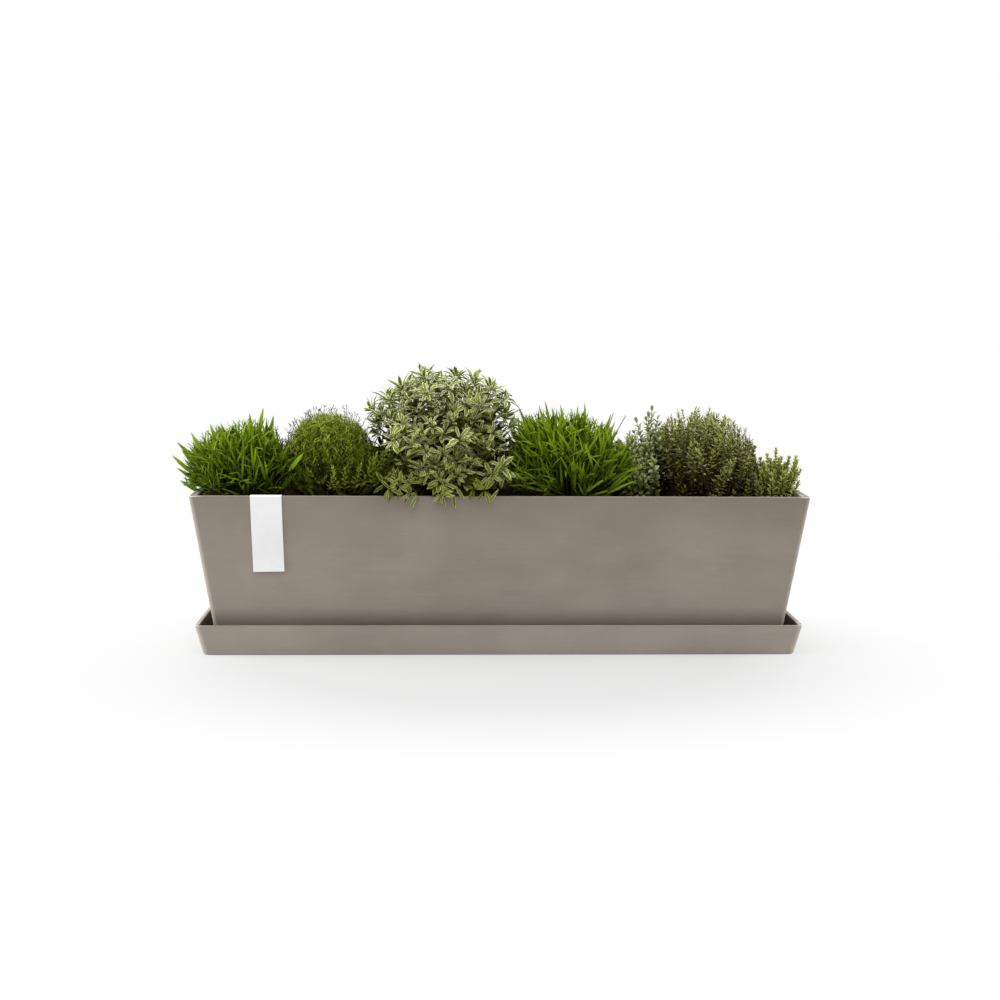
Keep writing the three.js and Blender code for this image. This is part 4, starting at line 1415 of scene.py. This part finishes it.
def grow_spikes(plant, spikes, sprigs, seed, stem_radius, tallest, back):
    """Upright shoots, as (tip, lean), each with one sprig at the end of its stem, painted darker lower down
    and at the back as shade.
    """
    chance = random.Random(seed)
    leaves, routes = bmesh.new(), []
    for tip, lean in spikes:
        tip, run = Vector(tip), Vector(lean).normalized()
        stamp, length = chance.choice(sprigs)
        size = chance.uniform(0.88, 1.1)
        base = tip - run * length * size
        light = (tip.z - RIM) / tallest * (1.0 if tip.y < back else 0.25)
        stamp.press(leaves, lie(base, run, run.orthogonal(), size), shade_tile(chance, light, 1.6))
        stem = stem_to(plant, base, 0.4, 0.005)
        routes.append((stem + [tip - run * 0.004], stem_radius, 0.0004))
    return leaves, routes


# %% Grow the hebe
hebe_leaf_shape = leaf_stamp(
    "hebe_leaf", 0.0106, 0.0052, widest=0.58, fullness=0.6, fold=0.2, arch=0.35, rings=5, thick=0.0007
)
hebe_axes = ((0.050, 9), (0.038, 7), (0.045, 8), (0.034, 6))
hebe_sprigs = paired_sprigs(
    "hebe_sprig", hebe_leaf_shape, hebe_axes, tilt=(1.5, 0.3), sizes=(1.05, 0.8), tip=0.006
)
chance = random.Random(44)
# The tallest shoots, as (tip, lean)
hebe_spikes = [
    ((0.208, 0.022, 0.318), (0.05, 0, 1)), ((0.199, 0.014, 0.304), (-0.1, 0, 1)),
    ((0.186, 0.020, 0.302), (-0.25, 0, 1)), ((0.218, 0.030, 0.305), (0.2, 0.1, 1)),
    ((0.176, 0.010, 0.280), (-0.4, -0.1, 1)), ((0.228, 0.016, 0.292), (0.25, -0.1, 1)),
    ((0.168, 0.004, 0.262), (-0.3, -0.1, 1)), ((0.212, 0.010, 0.296), (0.1, -0.1, 1)),
    ((0.204, 0.026, 0.309), (0, 0, 1)), ((0.192, 0.026, 0.292), (-0.15, 0, 1)),
    ((0.222, 0.008, 0.284), (0.2, 0, 1)), ((0.182, 0.012, 0.288), (-0.2, 0, 1)),
]
HEBE_MOUND, HEBE_TOP, HEBE_BACK = 84, 18, 110
for i in range(HEBE_MOUND):
    x = chance.uniform(0.156, 0.207)
    y = chance.uniform(-0.060, 0.030)
    top = RIM + (0.088 - 0.8 * abs(y - 0.015) - 0.5 * abs(x - 0.203)) * chance.uniform(0.3, 1.0)
    hebe_spikes.append(((x, y, top + 0.010), ((x - 0.202) * 9, (y - 0.02) * 8, 0.9)))
for i in range(HEBE_TOP):
    tip = any_spot(chance, (0.204, 0.226), (-0.010, 0.030), (0.062, 0.086), RIM)
    hebe_spikes.append((tip, UP + loose(chance, 0.25)))
for i in range(HEBE_BACK):
    tip = any_spot(chance, (0.152, 0.246), (0.032, 0.084), (0.024, 0.062), RIM)
    hebe_spikes.append((tip, UP + loose(chance, 0.3)))
leaves, routes = grow_spikes(
    "hebe", hebe_spikes, hebe_sprigs, seed=45, stem_radius=0.0011, tallest=0.095, back=0.031
)
grey_leaf = leaf_finish(
    "grey_leaf", deep=srgb(20, 27, 1), light=srgb(134, 148, 60), tip=srgb(222, 228, 178),
    rib=srgb(160, 172, 100), variety=0.8,
)
brown_twig = twig_finish("brown_twig", srgb(122, 104, 64), srgb(82, 58, 38))
finish_plant("hebe", routes, leaves, brown_twig, grey_leaf)

# %% Grow the thyme
thyme_leaf_shape = leaf_stamp(
    "thyme_leaf", 0.0072, 0.0029, widest=0.5, fullness=0.75, fold=0.2, arch=0.4, rings=4, thick=0.0006
)
thyme_axes = ((0.040, 11), (0.028, 8), (0.034, 9), (0.024, 7))
thyme_sprigs = paired_sprigs(
    "thyme_sprig", thyme_leaf_shape, thyme_axes, tilt=(1.3, 0.4), sizes=(1.05, 0.75), tip=0.005
)
thyme_skyline = [
    (0.214, 0.294), (0.226, 0.310), (0.240, 0.321), (0.260, 0.323), (0.279, 0.322), (0.299, 0.314),
    (0.318, 0.305), (0.335, 0.292), (0.347, 0.270), (0.352, 0.240),
]
thyme_canopy = Canopy(thyme_skyline, depth=0.084, fullness=2.3)
leaves, routes, _ = grow_shoots(
    "thyme", thyme_canopy, thyme_sprigs, count=760, seed=52, sizes=(0.85, 1.2), sink=(0.66, 1.03),
    stem_radius=0.0010, upward=1.4, wander=0.7, bare=0.40, fall=1.8,
)
herb_leaf = leaf_finish(
    "herb_leaf", deep=srgb(24, 19, 1), light=srgb(125, 131, 28), tip=srgb(214, 220, 150),
    rib=srgb(146, 152, 66), variety=0.8,
)
finish_plant("thyme", routes, leaves, brown_twig, herb_leaf)

# %% Grow the dwarf box
box_leaf_shape = leaf_stamp(
    "box_leaf", 0.0088, 0.0033, widest=0.5, fullness=0.75, fold=0.2, arch=0.3, rings=4, thick=0.0006
)
long_brush = sprig_stamp(
    "box_sprig", box_leaf_shape, 0.036, turns=9, whorl=4, tilt=(1.3, 0.35), sizes=(1.0, 0.75), step_turn=0.8
)
short_brush = sprig_stamp(
    "box_sprig", box_leaf_shape, 0.026, turns=7, whorl=4, tilt=(1.25, 0.35), sizes=(1.0, 0.8), step_turn=0.8
)
box_sprigs = [(long_brush, 0.041), (short_brush, 0.031)]
chance = random.Random(61)
# The tallest spikes, as (tip, lean)
box_spikes = [
    ((0.369, -0.024, 0.268), (0.0, 0, 1)), ((0.357, -0.026, 0.259), (-0.1, 0, 1)),
    ((0.341, -0.020, 0.258), (-0.2, 0, 1)), ((0.378, -0.020, 0.256), (0.15, 0, 1)),
    ((0.397, -0.022, 0.256), (0.16, 0, 1)), ((0.403, -0.028, 0.240), (0.5, 0, 1)),
    ((0.392, -0.036, 0.240), (0.3, -0.2, 1)), ((0.348, -0.040, 0.250), (-0.2, -0.2, 1)),
]
BOX_MOUND, BOX_BACK = 70, 45
for i in range(BOX_MOUND):
    x = chance.uniform(0.330, 0.396)
    y = chance.uniform(-0.072, 0.020)
    top = RIM + 0.010 + 0.036 * chance.uniform(0.3, 1.0) * (1 - ((y + 0.026) / 0.06) ** 2)
    box_spikes.append(((x, y, top), ((x - 0.366) * 11, (y + 0.026) * 11, 1)))
for i in range(BOX_BACK):
    tip = any_spot(chance, (0.322, 0.388), (0.021, 0.060), (0.008, 0.040), RIM)
    box_spikes.append((tip, UP + loose(chance, 0.25)))
leaves, routes = grow_spikes(
    "dwarf_box", box_spikes, box_sprigs, seed=62, stem_radius=0.0010, tallest=0.054, back=0.0205
)
box_leaf = leaf_finish(
    "box_leaf_green", deep=srgb(48, 54, 1), light=srgb(148, 156, 48), tip=srgb(224, 230, 158),
    rib=srgb(160, 168, 82), variety=0.5,
)
finish_plant("dwarf_box", routes, leaves, brown_twig, box_leaf)

# %% [markdown]
# ## Floor and light
# A studio sweep is one pale surface with no horizon. The floor takes the object's soft shadow near it and
# turns to plain white further out, for the eye only: the light that it throws back stays that of a pale
# floor. A broad softbox overhead does most of the lighting, one behind edges the leaves, and two at the sides
# brighten the rounded corners.

# %% Lay the floor
FLOOR_HALF = 6


def studio_floor(tone, patch):
    """A floor of a grey tone that is white beyond a patch of the given half sizes."""
    bm = bmesh.new()
    bmesh.ops.create_grid(bm, x_segments=2, y_segments=2, size=FLOOR_HALF)
    mesh = bpy.data.meshes.new("studio_floor")
    bm.to_mesh(mesh)
    bm.free()
    floor = bpy.data.objects.new("studio_floor", mesh)
    bpy.context.scene.collection.objects.link(floor)
    material, tree, shader = new_finish("pale_floor", 0.8, 0.1)
    shader.inputs["Base Color"].default_value = (tone, tone, tone, 1)
    squeeze, shift = (1 / patch[0], 1 / patch[1], 1), (0, 0.1 / patch[1], 0)
    lay = {"Vector": object_place(tree), "Scale": squeeze, "Location": shift}
    squeezed = add_node(tree, "Mapping", lay).outputs[0]
    away = add_node(tree, "VectorMath", {0: squeezed}, operation="LENGTH").outputs["Value"]
    path = add_node(tree, "LightPath")
    seen = maths(tree, "MAXIMUM", path.outputs["Is Camera Ray"], path.outputs["Is Glossy Ray"])
    far = maths(tree, "MULTIPLY", seen, ranged(tree, away, 0.45, 0.92, 0.4, 1.0))
    white = add_node(tree, "Emission", {"Color": (1, 1, 1, 1), "Strength": 1.0})
    blend = add_node(tree, "MixShader", {0: far, 1: shader.outputs[0], 2: white.outputs[0]})
    tree.links.new(blend.outputs[0], tree.nodes["Material Output"].inputs["Surface"])
    mesh.materials.append(material)


studio_floor(tone=0.48, patch=(0.66, 0.46))
print("the floor is laid")

# %% Hang the softboxes
def softbox(name, place, aim, size, watts):
    data = bpy.data.lights.new(name, "AREA")
    data.shape = "RECTANGLE"
    data.size, data.size_y = size
    data.energy = watts
    lamp = bpy.data.objects.new(name, data)
    lamp.location = place
    lamp.rotation_euler = (Vector(aim) - Vector(place)).to_track_quat("-Z", "Y").to_euler()
    bpy.context.scene.collection.objects.link(lamp)


def studio_world(strength):
    world = bpy.data.worlds.new("studio")
    bpy.context.scene.world = world
    world.use_nodes = True
    tree = world.node_tree
    tree.nodes["Background"].inputs["Strength"].default_value = strength
    tree.nodes["Background"].inputs["Color"].default_value = (1, 1, 1, 1)
    path = add_node(tree, "LightPath")
    seen = maths(tree, "MAXIMUM", path.outputs["Is Camera Ray"], path.outputs["Is Transmission Ray"])
    white = add_node(tree, "Background", {"Color": (1, 1, 1, 1), "Strength": 1.0})
    sockets = {0: seen, 1: tree.nodes["Background"].outputs[0], 2: white.outputs[0]}
    blend = add_node(tree, "MixShader", sockets)
    tree.links.new(blend.outputs[0], tree.nodes["World Output"].inputs["Surface"])


studio_world(strength=0.55)
softbox("overhead_box", (-0.5, -0.8, 2.2), aim=(0, 0, 0.2), size=(2.4, 1.6), watts=41)
softbox("back_box", (0.2, 1.5, 1.4), aim=(0, 0, 0.3), size=(2.0, 0.8), watts=22)
softbox("left_box", (-1.7, -0.1, 0.5), aim=(-0.4, 0, 0.12), size=(0.8, 0.9), watts=28)
softbox("right_box", (1.7, -0.1, 0.5), aim=(0.4, 0, 0.12), size=(0.8, 0.9), watts=19)
bpy.context.scene.view_settings.view_transform = "Standard"
